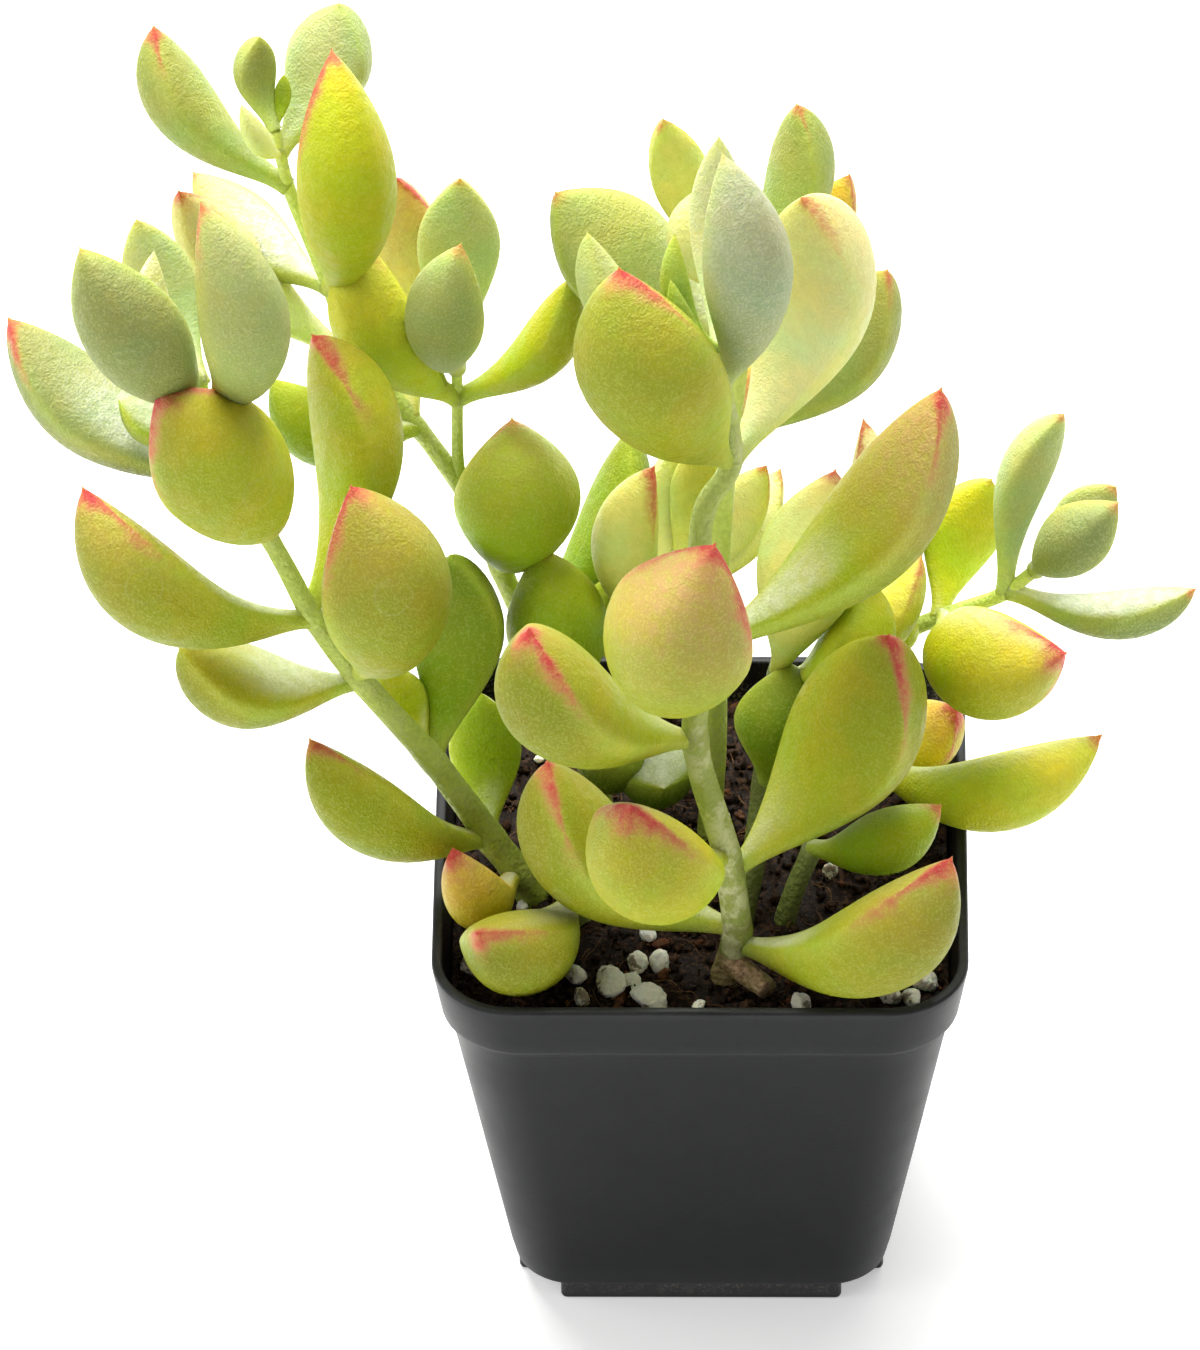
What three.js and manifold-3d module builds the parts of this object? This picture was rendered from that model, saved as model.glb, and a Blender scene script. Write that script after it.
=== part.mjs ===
// Potted cotyledon pendens: a square nursery pot, its soil and nine leafy stems.
// Millimetres, +Z up, the pot's front face towards -Y, the middle of its underside at the origin.
import * as THREE from "three";
import { mergeVertices } from "three/addons/utils/BufferGeometryUtils.js";
import Module from "manifold-3d";

const wasm = await Module();
wasm.setup();

// Pot: half widths across the flats, heights from the underside.
const RIM_HALF = 30;
const RIM_HEIGHT = 53.2;
const BAND_HEIGHT = 7.6;
const BAND_HALF = 29.1;
const BAND_STEP = 0.9;
const BASE_HALF = 21.2;
const CORNER_RADIUS = 9;
const BASE_CORNER_RADIUS = 6.5;
const WALL = 1.1;
const FLOOR = 1.3;
const FOOT_HEIGHT = 2.3;
const FOOT_NOTCH = 4.8;
const DRAIN_RADIUS = 1.5;
const DRAIN_LENGTH = 6;
const CORNER_STEPS = 4;
const LIP_ROUND = 0.35;

// Soil: a gently uneven top below the rim, clear of the pot wall.
const SOIL_LEVEL = 48.5;
const SOIL_GAP = 0.3;
const SOIL_SETBACK = 0.8;
const SOIL_SWELL = 0.8;
const SOIL_RINGS = 7;
const ROOT_DEPTH = 7;
const HOLE_GAP = 0.35;
const PERLITE_COUNT = 7;
const BARK_COUNT = 5;
const SEED = 20261;

// Perlite lumps that show from the front: place across the pot, place along it, half size.
const PERLITE = [
  [-13.8, -20, 1.5], [-10, -20.7, 1.9], [-7.6, -20.2, 1.3], [-7, -17.4, 1.5], [-4.6, -16.6, 1.4],
  [-5.6, -23.1, 1.9], [-0.2, -24.1, 0.8], [-13.2, -23, 1.1], [11.2, -24.2, 1.5], [21.1, -22.6, 1.4],
  [23.6, -23, 1.4], [25, -20.5, 1.6], [25.2, 4.1, 1.4], [23.2, 24, 1.6],
];

// Leaf form shared by every leaf.
const LEAF_GRADES = [
  { widest: 7.8, sides: 6, stations: [0, 0.24, 0.5, 0.76, 0.93] },
  { widest: 12.8, sides: 8, stations: [0, 0.18, 0.38, 0.6, 0.8, 0.94] },
  { widest: 99, sides: 10, stations: [0, 0.13, 0.28, 0.45, 0.62, 0.77, 0.89, 0.96] },
];
const PETIOLE_HALF = 1.15;
const UPPER_SHARE = 0.3;
const BODY_END = 0.985;
const TIP_HALF = 0.16;
const STEM_TAPER = 0.75;
const STEM_SIDES = 7;
const LINE_STEPS = 2;

// Each stem: its centre line from the soil upwards, radius at the foot and at the top, and its leaves.
// A leaf row: node along the centre line, reach from node to tip, width, thickness, roll, bow.
const STEMS = {
  stem_front: {
    line: [[3, -18.5, 48.5], [4, -18.5, 53], [3, -19, 67], [-0.5, -19, 84], [0.5, -18, 96.5],
      [0.5, -15, 114], [3.5, -14, 120], [2.5, -12.5, 130], [2, -12, 134.5]],
    radii: [2.2, 1.05],
    stub: { line: [[3, -18.5, 51.2], [5.2, -21, 51], [7.6, -23.4, 50.7]], radii: [1.7, 1.35] },
    leaves: [
      [1, [24, -7, 20], 15, 11.5, -35, 0.13],
      [1.2, [-21, 3, 23], 15, 11.5, 10, 0.13],
      [1.8, [17.5, 9, 28], 16.5, 12.5, 15, 0.13],
      [2, [-10.5, -13.5, 20], 16.5, 12.5, -5, 0.12],
      [3, [-18, -7, 23], 17, 12.5, -5, 0.1],
      [4, [1.5, -15, 29], 17.5, 13.5, -30, 0.2],
      [4, [26, 15, 25.5], 14, 11, 0, 0.13],
      [6, [-12, -4, 31.5], 18, 13, 35, 0.07],
      [6, [7.5, 9.5, 30], 14, 12.5, -20, 0.2],
      [7, [0, 1, 32], 10.5, 8.5, -10, 0.13],
      [7, [-14.5, 5, 17.5], 7, 5.5, 0, 0.13],
      [7.6, [0, 11, 23], 6.5, 5, 20, 0.13],
      [8, [-4.5, -1, 17.5], 4, 3, 0, 0.13],
      [8, [-5, -4.5, 14], 3, 2.5, 10, 0.13],
    ],
  },
  stem_centre: {
    line: [[1, 5, 48.5], [1.5, 5, 60], [2, 5.5, 83.5], [3.2, 6, 106.5], [4.5, 7, 118.5], [4, 8, 126]],
    radii: [1.8, 0.9],
    leaves: [
      [3, [17.5, 8.5, 17.5], 11.5, 8.5, 10, 0.14],
      [3, [3.5, 8.5, 4.5], 3, 2.5, 20, 0.13],
      [4, [-20.5, 8, 16], 13.5, 10, -40, 0.11],
      [4, [12, 10, 17], 7.5, 6, 25, 0.12],
      [5, [6.5, 7, 21], 9, 7, 5, 0.13],
      [5, [-8, 5, 20.5], 7, 5.5, -45, 0.12],
      [5, [-3.5, 0, 15], 7.5, 6, -10, 0.13],
    ],
  },
  stem_left: {
    line: [[-19, -5.5, 48.5], [-23.5, -5, 56.5], [-29, -6, 68], [-37.5, -8, 83], [-42.5, -9, 93],
      [-47, -10, 105.5], [-51.5, -10, 115.5], [-53.5, -10, 122], [-54, -10, 128.5]],
    radii: [2.3, 0.7],
    leaves: [
      [0.45, [-7, -8, 11], 7.5, 7, -20, 0.26],
      [1, [-20, -5.5, 20.5], 11.5, 8.5, 25, 0.11],
      [1.05, [-1, 11, 12], 8.5, 6.5, 30, 0.13],
      [2.1, [2, 9.5, 22.5], 11.5, 8.5, 25, 0.12],
      [2.2, [-5, 6, 7.5], 6, 4.5, 0, 0.13],
      [3.1, [0, -4.5, 32], 16, 12.5, -45, 0.15],
      [3, [-20, -4, 8.5], 11.5, 8.5, 0, 0.12],
      [4, [-25, -1, 20.5], 13.5, 10, 55, 0.15],
      [4.1, [0.5, 11, 31], 12.5, 10, -15, 0.14],
      [5.1, [-11, -9, 28.5], 15.5, 12.5, 25, 0.11],
      [5.8, [-25, 13, 13], 11, 8.5, 15, 0.12],
      [7.4, [-12.5, -6, 28], 11.5, 8.5, 70, 0.1],
      [7.4, [0.5, -4, 32.5], 10.5, 9, 10, 0.2],
      [7.9, [-7, 9, 16], 8, 6, -20, 0.13],
      [8, [-4.5, 0, 18.5], 5, 4, 45, 0.13],
      [6.9, [-10, 4, 1], 6, 4.5, 0, 0.13],
    ],
  },
  stem_back_left: {
    line: [[-11.5, 10.5, 48.5], [-16.5, 12, 64], [-22.5, 14, 80.5], [-26.5, 15, 91], [-31.5, 16, 99.5],
      [-35.5, 17, 105], [-38.5, 17, 108.5], [-41, 18, 118], [-45.2, 18, 132.5], [-46, 18, 137.5],
      [-46.5, 18, 140.5]],
    radii: [1.7, 0.6],
    leaves: [
      [1, [-1.5, -4, 25], 12, 9.5, -25, 0.13],
      [1.5, [11.5, 12, 19.5], 8.5, 7, 0, 0.1],
      [2, [1.5, 1, 21.5], 15, 10.5, -65, 0.18],
      [4.2, [-1.5, 12, 25], 10, 7, 60, 0.18],
      [4, [-16, -5, 11.5], 10.5, 8, 10, 0.13],
      [6, [-19, 3, 22], 9, 7, -20, 0.12],
      [7, [1, -2.5, 36.5], 11.5, 9, -52, 0.19],
      [7, [-15.5, 12.5, 6.5], 8.5, 6.5, 0, 0.1],
      [8, [-14.5, 5.5, 18.5], 9, 7.5, 25, 0.1],
      [9, [6.5, 7.5, 15], 10.5, 8, 15, 0.13],
      [8.9, [-4, -4.5, 11], 3, 2.5, 25, 0.13],
      [10, [-1.5, 3.5, 10.5], 5.5, 4, 50, 0.14],
      [10, [1, 3, 5.5], 2, 1.6, 15, 0.13],
    ],
    branch: {
      line: [[-26.5, 15, 91], [-27, 15, 95], [-27, 15, 104.5], [-27, 15, 109]],
      radii: [0.8, 0.65],
      leaves: [
        [2, [-10.5, 1, 23.5], 11.5, 8.5, 55, 0.13],
        [2, [12.5, 0, 17.5], 8.5, 6.5, -5, 0.11],
        [3, [1, -7, 24], 9.5, 7, -35, 0.13],
        [3, [0.5, 9, 20], 9.5, 7, 5, 0.12],
        [2.1, [-2.5, -1, 6.5], 3, 2.4, 0, 0.1],
      ],
    },
  },
  stem_middle: {
    line: [[-6, 12, 48.5], [-6, 12, 62.5], [-4.5, 12, 71.5], [-2.5, 12, 77.5]],
    radii: [2, 1.2],
    leaves: [
      [2.8, [0.5, 8, 18], 5.5, 4.5, -15, 0.13],
      [2, [-0.5, -0.5, 26.5], 10, 7, 20, 0.12],
      [3, [3, 4.5, 19.5], 7, 5, -50, 0.14],
      [3, [9, 14, 6.5], 6, 4.5, 10, 0.13],
      [2.7, [10.5, 5.5, 17], 6.5, 4.5, 15, 0.13],
      [3, [11.5, 10.5, 10.5], 6.5, 4.5, -10, 0.13],
      [1.3, [-4.5, 0.5, 15], 6.5, 4.5, 0, 0.13],
      [0.8, [-6, -9, 1], 8.5, 7, 0, 0.12],
      [0.8, [2, -10.5, -1.5], 10, 7.5, 0, 0.12],
    ],
  },
  stem_right_middle: {
    line: [[4.5, -9.5, 48.5], [5.5, -8, 53], [7, -2, 62], [8, 2, 71.5], [9.5, 5, 78]],
    radii: [1.9, 1.1],
    leaves: [
      [2, [3, 5, 14.3], 13, 8, 0, 0.1],
      [3, [11, 4.5, 14], 13, 8, 0, 0.1],
      [3.2, [16.5, 10.5, 10.5], 8, 5.5, 0, 0.13],
      [3.4, [6.5, 7, 24.5], 12.5, 9.5, -15, 0.11],
      [4, [8.5, 10, 24], 8.5, 6, 0, 0.13],
    ],
  },
  stem_right: {
    line: [[17, 9.5, 48.5], [18, 10, 54], [21.5, 13.5, 69.5], [28, 12.5, 75], [34, 11.5, 79], [37.5, 11.5, 82.5]],
    radii: [1.6, 0.75],
    leaves: [
      [1.1, [27, -7.5, 10.5], 10.5, 8.5, -50, 0.17],
      [0.9, [11, 2, 8], 8.5, 6.5, 35, 0.13],
      [2, [4.5, 4.5, 15], 5.5, 4.5, -5, 0.13],
      [1.9, [3, -1, 7], 3.5, 2.5, 0, 0.13],
      [2.8, [6, 8.5, 13.5], 9.5, 6.5, -35, 0.12],
      [2.9, [13.5, -18.5, 11], 14, 11, -10, 0.15],
      [4, [6.5, 3, 24], 7, 5.5, -35, 0.08],
      [4.1, [21, -4, 4], 7.5, 5.5, -5, 0.11],
      [5, [9, 5, 8], 6.5, 5, -10, 0.13],
      [5, [9, -5, 14.5], 8, 6, 10, 0.13],
    ],
  },
  stem_low_right: {
    line: [[9.5, -9.5, 48.5], [12.5, -8, 58]],
    radii: [1.5, 1.2],
    leaves: [[1, [14.5, -3, 9.5], 8.5, 6.5, -60, 0.12]],
  },
  stem_low_left: {
    line: [[-13.5, -9.5, 48.5], [-14, -10.5, 54]],
    radii: [1.4, 1.2],
    leaves: [[0.8, [-11, -17, 10], 13.5, 10, 30, 0.1]],
  },
};

const COLOURS = {
  pot: { color: 0x24262a, roughness: 0.5, metalness: 0 },
  soil: { color: 0x2c211b, roughness: 0.95, metalness: 0 },
  plant: { color: 0xa9c15a, roughness: 0.5, metalness: 0 },
};

const vec = (p) => new THREE.Vector3(p[0], p[1], p[2]);

// A seeded run of numbers between 0 and 1.
function draws(seed) {
  let state = seed;
  return () => {
    state = (state * 16807) % 2147483647;
    return state / 2147483647;
  };
}

// A closed solid from rings of equal count, first ring at the start, with flat or pointed ends.
function loft(rings, startPoint, endPoint) {
  const count = rings[0].length;
  const points = [];
  for (const ring of rings) for (const p of ring) points.push(p.x, p.y, p.z);
  const first = points.length / 3;
  points.push(startPoint.x, startPoint.y, startPoint.z);
  points.push(endPoint.x, endPoint.y, endPoint.z);
  const faces = [];
  for (let i = 0; i + 1 < rings.length; i++) {
    for (let j = 0; j < count; j++) {
      const a = i * count + j;
      const b = i * count + ((j + 1) % count);
      const c = a + count;
      const d = b + count;
      faces.push(a, b, d, a, d, c);
    }
  }
  const last = (rings.length - 1) * count;
  for (let j = 0; j < count; j++) {
    const k = (j + 1) % count;
    faces.push(first, k, j);
    faces.push(first + 1, last + j, last + k);
  }
  const solid = new wasm.Manifold(
    new wasm.Mesh({
      numProp: 3,
      vertProperties: new Float32Array(points),
      triVerts: new Uint32Array(faces),
    }),
  );
  return solid;
}

// The middle of a ring.
function middle(ring) {
  const sum = new THREE.Vector3();
  for (const p of ring) sum.add(p);
  return sum.multiplyScalar(1 / ring.length);
}

// Rounded square across the flats, anticlockwise seen from above.
function squareRing(half, radius, z) {
  const ring = [];
  const inner = half - radius;
  for (let q = 0; q < 4; q++) {
    const cx = q === 0 || q === 3 ? inner : -inner;
    const cy = q < 2 ? inner : -inner;
    for (let k = 0; k <= CORNER_STEPS; k++) {
      const a = ((q + k / CORNER_STEPS) * Math.PI) / 2;
      ring.push(new THREE.Vector3(cx + radius * Math.cos(a), cy + radius * Math.sin(a), z));
    }
  }
  return ring;
}

function squareLoft(levels) {
  const rings = levels.map(([half, radius, z]) => squareRing(half, radius, z));
  return loft(rings, middle(rings[0]), middle(rings[rings.length - 1]));
}

// A closed geometry as a solid: its corners are shared between its faces first.
function solidOf(geometry) {
  geometry.deleteAttribute("normal");
  geometry.deleteAttribute("uv");
  const merged = mergeVertices(geometry, 1e-4);
  return new wasm.Manifold(
    new wasm.Mesh({
      numProp: 3,
      vertProperties: merged.getAttribute("position").array,
      triVerts: new Uint32Array(merged.index.array),
    }),
  );
}

function box(x0, x1, y0, y1, z0, z1) {
  const unitBox = new THREE.BoxGeometry(1, 1, 1).translate(0.5, 0.5, 0.5);
  return solidOf(unitBox.scale(x1 - x0, y1 - y0, z1 - z0).translate(x0, y0, z0));
}

// Half width of the outer body wall at a height.
function bodyHalf(z) {
  const top = RIM_HEIGHT - BAND_HEIGHT;
  const share = (z - FOOT_HEIGHT) / (top - FOOT_HEIGHT);
  return BASE_HALF + (BAND_HALF - BAND_STEP - BASE_HALF) * share;
}

// The raised cross under the base: the base square less a square at each corner.
function footCross(half, z0, z1) {
  const arm = half - FOOT_NOTCH;
  const wide = box(-half, half, -arm, arm, z0, z1);
  return wide.add(box(-arm, arm, -half, half, z0, z1));
}

function potOuter() {
  const top = RIM_HEIGHT;
  const band = RIM_HEIGHT - BAND_HEIGHT;
  const cr = CORNER_RADIUS;
  const body = squareLoft([
    [BASE_HALF - 0.5, BASE_CORNER_RADIUS, FOOT_HEIGHT],
    [BASE_HALF, BASE_CORNER_RADIUS, FOOT_HEIGHT + 0.6],
    [bodyHalf(band * 0.55), cr - 1.4, band * 0.55],
    [BAND_HALF - BAND_STEP, cr - 0.6, band],
    [BAND_HALF - 0.25, cr, band + 0.05],
    [BAND_HALF, cr, band + 0.4],
    [RIM_HALF - 0.15, cr, top - 1.2],
    [RIM_HALF, cr, top - LIP_ROUND],
    [RIM_HALF - LIP_ROUND, cr - LIP_ROUND, top],
  ]);
  return body.add(footCross(BASE_HALF - 0.4, 0, FOOT_HEIGHT + 0.3));
}

// The space inside the pot, drawn in by a clearance for what fills it.
function potInner(clear, top) {
  const band = RIM_HEIGHT - BAND_HEIGHT;
  const cr = CORNER_RADIUS - WALL - clear;
  const low = FOOT_HEIGHT + FLOOR + clear;
  const space = squareLoft([
    [BASE_HALF - WALL - clear, BASE_CORNER_RADIUS - WALL - clear, low],
    [BAND_HALF - BAND_STEP - WALL - clear, cr - 0.5, band - 1.5],
    [BAND_HALF - WALL - clear, cr, band + 1.5],
    [RIM_HALF - WALL - 0.1 - clear, cr, top],
  ]);
  return space.add(footCross(BASE_HALF - 0.4 - WALL - clear, FLOOR + clear, low + 0.3));
}

function makePot() {
  let pot = potOuter().subtract(potInner(0, RIM_HEIGHT + 0.01));
  const at = BASE_HALF - FOOT_NOTCH / 2 - 1.4;
  for (const x of [-at, at]) {
    for (const y of [-at, at]) {
      const drain = new THREE.CylinderGeometry(DRAIN_RADIUS, DRAIN_RADIUS, DRAIN_LENGTH, 12);
      drain.rotateX(Math.PI / 2).translate(x, y, FOOT_HEIGHT - 1 + DRAIN_LENGTH / 2);
      pot = pot.subtract(solidOf(drain));
    }
  }
  return pot;
}

// Height of the soil's top at a place, without the lumps.
function soilHeight(x, y) {
  const swell = 0.5 * Math.sin(x * 0.21 + 1.3) * Math.cos(y * 0.17 - 0.4)
    + 0.3 * Math.sin(x * 0.47 - y * 0.39) + 0.2 * Math.cos(x * 0.83 + y * 0.71);
  return SOIL_LEVEL + SOIL_SWELL * swell;
}

function soilBody() {
  const band = RIM_HEIGHT - BAND_HEIGHT;
  const cr = CORNER_RADIUS - WALL - SOIL_GAP;
  const edge = RIM_HALF - WALL - SOIL_SETBACK - SOIL_GAP;
  const low = FOOT_HEIGHT + FLOOR + SOIL_GAP;
  const rings = [
    squareRing(BASE_HALF - WALL - SOIL_GAP, BASE_CORNER_RADIUS - WALL - SOIL_GAP, low),
    squareRing(BAND_HALF - BAND_STEP - WALL - SOIL_GAP, cr - 0.5, band - 1.5),
    squareRing(BAND_HALF - WALL - SOIL_GAP, cr, band + 1.5),
  ];
  for (let i = SOIL_RINGS; i > 0; i--) {
    const half = (edge * i) / SOIL_RINGS;
    const radius = Math.max(0.4, cr * (i / SOIL_RINGS));
    rings.push(squareRing(half, Math.min(radius, half * 0.9), 0).map(
      (p) => p.setZ(soilHeight(p.x, p.y)),
    ));
  }
  const centre = new THREE.Vector3(0, 0, soilHeight(0, 0));
  const body = loft(rings, middle(rings[0]), centre);
  const foot = footCross(BASE_HALF - 0.4 - WALL - SOIL_GAP, FLOOR + SOIL_GAP, low + 0.3);
  return body.add(foot);
}

// A rough lump: a coarse ball stretched along three axes and turned.
function lump(random, size, flat) {
  const stretch = [size * (0.8 + 0.5 * random()), size * (0.7 + 0.3 * random()), size * flat];
  return solidOf(new THREE.OctahedronGeometry(1, 1))
    .scale(stretch)
    .rotate([40 * random() - 20, 40 * random() - 20, 360 * random()]);
}

function makeSoil(holes) {
  const random = draws(SEED);
  let soil = soilBody();
  const spread = RIM_HALF - WALL - 4;
  const drop = (x, y, size, flat) => {
    const piece = lump(random, size, flat);
    soil = soil.add(piece.translate([x, y, soilHeight(x, y) + size * 0.25]));
  };
  for (const [x, y, size] of PERLITE) drop(x, y, size, 0.75);
  for (let i = 0; i < PERLITE_COUNT + BARK_COUNT; i++) {
    const x = (2 * random() - 1) * spread;
    const y = (2 * random() - 0.6) * spread * 0.7;
    const perlite = i < PERLITE_COUNT;
    const size = perlite ? 1 + 0.9 * random() : 1.4 + 1.2 * random();
    drop(x, y, size, perlite ? 0.75 : 0.4);
  }
  for (const hole of holes) soil = soil.subtract(hole);
  const bodies = soil.decompose();
  return bodies.reduce((best, body) => (body.volume() > best.volume() ? body : best));
}

// A smooth centre line through the given points, sampled evenly, with the place of each node.
function smoothLine(points, perSpan) {
  const curve = new THREE.CatmullRomCurve3(points.map(vec), false, "centripetal");
  const spans = points.length - 1;
  const samples = [];
  for (let i = 0; i <= spans * perSpan; i++) samples.push(curve.getPoint(i / (spans * perSpan)));
  return { curve, samples, spans };
}

// A round sweep along samples, its radius given by a function of the share along it.
function sweep(samples, radiusAt, sides) {
  const rings = [];
  const normal = new THREE.Vector3(1, 0, 0);
  samples.forEach((p, i) => {
    const before = samples[Math.max(0, i - 1)];
    const after = samples[Math.min(samples.length - 1, i + 1)];
    const along = after.clone().sub(before).normalize();
    normal.addScaledVector(along, -normal.dot(along)).normalize();
    const across = along.clone().cross(normal);
    const r = radiusAt(i / (samples.length - 1));
    const ring = [];
    for (let k = 0; k < sides; k++) {
      const a = (2 * Math.PI * k) / sides;
      ring.push(p.clone()
        .addScaledVector(normal, r * Math.cos(a))
        .addScaledVector(across, r * Math.sin(a)));
    }
    rings.push(ring);
  });
  return loft(rings, samples[0], samples[samples.length - 1]);
}

// Shares of the full half width and of the two half thicknesses at a place along the leaf.
function leafShares(t) {
  const s = Math.min(1, t / BODY_END);
  const bump = (power, round) => Math.pow(Math.max(0, Math.sin(Math.PI * Math.pow(s, power))), round);
  return { width: bump(1.45, 0.85), upper: bump(1.45, 0.9), under: bump(1.5, 0.7) };
}

// One plump leaf: narrow at the node, widest past the middle, flatter above, full below.
function leafSolid(base, row, up) {
  const [, reachValues, width, thickness, roll, bow] = row;
  const reach = vec(reachValues);
  const length = reach.length();
  const along = reach.clone().normalize();
  const face = up.clone().addScaledVector(along, -up.dot(along)).normalize();
  face.applyAxisAngle(along, (roll * Math.PI) / 180);
  const side = along.clone().cross(face);
  const { sides, stations } = LEAF_GRADES.find((grade) => width <= grade.widest);
  const grow = Math.sqrt((Math.PI / sides) / Math.sin(Math.PI / sides));
  const petiole = Math.min(PETIOLE_HALF, width * 0.16);
  const rings = stations.map((t) => {
    const share = leafShares(t);
    const stalk = petiole * Math.pow(1 - t, 2) + TIP_HALF * t * (1 - t);
    const halfWidth = Math.hypot((share.width * width) / 2, stalk) * grow;
    const upper = Math.hypot(share.upper * thickness * UPPER_SHARE, stalk) * grow;
    const under = Math.hypot(share.under * thickness * (1 - UPPER_SHARE), stalk) * grow;
    const slope = -bow * Math.PI * Math.cos(Math.PI * t);
    const ahead = along.clone().addScaledVector(face, slope).normalize();
    const lift = side.clone().cross(ahead).negate().normalize();
    if (lift.dot(face) < 0) lift.negate();
    const centre = base.clone()
      .addScaledVector(along, length * t)
      .addScaledVector(face, -bow * length * Math.sin(Math.PI * t));
    const ring = [];
    for (let k = 0; k < sides; k++) {
      const a = (2 * Math.PI * k) / sides;
      const high = Math.sin(a);
      ring.push(centre.clone()
        .addScaledVector(side, halfWidth * Math.cos(a))
        .addScaledVector(lift, (high > 0 ? upper : under) * high));
    }
    return ring;
  });
  const solid = loft(rings, base, base.clone().add(reach));
  return solid.volume() < 0 ? loft(rings.map((r) => r.reverse()), base, base.clone().add(reach)) : solid;
}

// Radius of a stem at a share of its length: it thins sooner near the foot.
function stemRadius([foot, top]) {
  return (share) => foot + (top - foot) * Math.pow(share, STEM_TAPER);
}

function stemPiece(line, radii, rows) {
  const { curve, samples, spans } = smoothLine(line, LINE_STEPS);
  const radiusAt = stemRadius(radii);
  let solid = sweep(samples, radiusAt, STEM_SIDES);
  const leaves = rows.map((row) => {
    const s = Math.min(1, row[0] / spans);
    const base = curve.getPoint(s);
    return leafSolid(base, row, curve.getTangent(s));
  });
  for (const leaf of leaves) solid = solid.add(leaf);
  return solid;
}

function makeStem(spec) {
  const foot = spec.line[0];
  const buried = [foot[0], foot[1], foot[2] - ROOT_DEPTH];
  const line = [buried, ...spec.line];
  const rows = spec.leaves.map((row) => [row[0] + 1, ...row.slice(1)]);
  let solid = stemPiece(line, spec.radii, rows);
  if (spec.branch) {
    solid = solid.add(stemPiece(spec.branch.line, spec.branch.radii, spec.branch.leaves));
  }
  if (spec.stub) solid = solid.add(stemPiece(spec.stub.line, spec.stub.radii, []));
  return solid;
}

// What the soil gives way to: the lower stem drawn a little thicker.
function makeHole(spec) {
  const foot = spec.line[0];
  const buried = [foot[0], foot[1], foot[2] - ROOT_DEPTH];
  const { samples } = smoothLine([buried, ...spec.line], LINE_STEPS);
  const radiusAt = (s) => stemRadius(spec.radii)(s) + HOLE_GAP;
  const low = [samples[0].clone().setZ(samples[0].z - HOLE_GAP), ...samples];
  return sweep(low, radiusAt, STEM_SIDES);
}

function meshOf(name, solid, look) {
  const made = solid.getMesh();
  const geometry = new THREE.BufferGeometry();
  const positions = new Float32Array(made.numVert * 3);
  for (let i = 0; i < made.numVert; i++) {
    positions.set(made.vertProperties.subarray(i * made.numProp, i * made.numProp + 3), i * 3);
  }
  geometry.setAttribute("position", new THREE.BufferAttribute(positions, 3));
  geometry.setIndex(new THREE.BufferAttribute(new Uint32Array(made.triVerts), 1));
  geometry.computeVertexNormals();
  const mesh = new THREE.Mesh(geometry, new THREE.MeshStandardMaterial(look));
  mesh.name = name;
  return mesh;
}

const plant = new THREE.Group();
plant.name = "potted_cotyledon_pendens";
plant.add(meshOf("pot", makePot(), COLOURS.pot));
plant.add(meshOf("soil", makeSoil(Object.values(STEMS).map(makeHole)), COLOURS.soil));
for (const [name, spec] of Object.entries(STEMS)) {
  plant.add(meshOf(name, makeStem(spec), COLOURS.plant));
}

export default plant;
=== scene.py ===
"""Looks of the potted cotyledon pendens: pot, soil and nine leafy stems in metres, +Z up, -Y to the front."""

import logging
import math
from dataclasses import dataclass, field
from enum import Enum

import bpy
import numpy as np
from mathutils import Matrix, Vector

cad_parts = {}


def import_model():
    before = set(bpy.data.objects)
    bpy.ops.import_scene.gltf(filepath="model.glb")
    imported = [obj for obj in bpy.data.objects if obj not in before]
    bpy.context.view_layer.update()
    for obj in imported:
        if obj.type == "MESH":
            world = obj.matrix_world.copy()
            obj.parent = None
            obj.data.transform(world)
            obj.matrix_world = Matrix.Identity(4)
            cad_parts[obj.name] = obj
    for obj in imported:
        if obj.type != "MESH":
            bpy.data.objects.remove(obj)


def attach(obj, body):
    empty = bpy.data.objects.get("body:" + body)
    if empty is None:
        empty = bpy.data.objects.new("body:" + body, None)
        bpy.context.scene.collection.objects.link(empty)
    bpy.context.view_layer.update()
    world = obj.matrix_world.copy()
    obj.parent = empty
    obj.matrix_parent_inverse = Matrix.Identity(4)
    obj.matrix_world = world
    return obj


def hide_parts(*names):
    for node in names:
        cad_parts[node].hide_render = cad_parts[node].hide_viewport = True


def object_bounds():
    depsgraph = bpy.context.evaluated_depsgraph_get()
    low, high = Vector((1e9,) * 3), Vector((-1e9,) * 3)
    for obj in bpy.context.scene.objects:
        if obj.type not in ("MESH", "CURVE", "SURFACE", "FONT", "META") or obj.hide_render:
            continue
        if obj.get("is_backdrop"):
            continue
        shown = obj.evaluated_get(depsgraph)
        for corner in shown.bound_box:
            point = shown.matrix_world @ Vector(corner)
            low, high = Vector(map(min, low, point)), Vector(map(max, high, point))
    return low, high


LOG = logging.getLogger("potted_cotyledon")
MM = 0.001
TO_MM = 1000.0
SEED = 20261

# Pot, in millimetres: half widths across the flats and heights from its underside.
RIM_HALF = 30.0
RIM_HEIGHT = 53.2
BAND_HEIGHT = 7.6
BAND_HALF = 29.1
BAND_STEP = 0.9
BASE_HALF = 21.2
CORNER_RADIUS = 9.0
BASE_CORNER_RADIUS = 6.5
WALL = 1.1
FLOOR = 1.3
FOOT_HEIGHT = 2.3
FOOT_NOTCH = 4.8
DRAIN_RADIUS = 1.5

# Soil: its top lies below the rim, its sides clear of the wall.
SOIL_LEVEL = 48.5
SOIL_GAP = 0.3
SOIL_SETBACK = 0.8
SOIL_SWELL = 0.8
ROOT_DEPTH = 7.0

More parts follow.
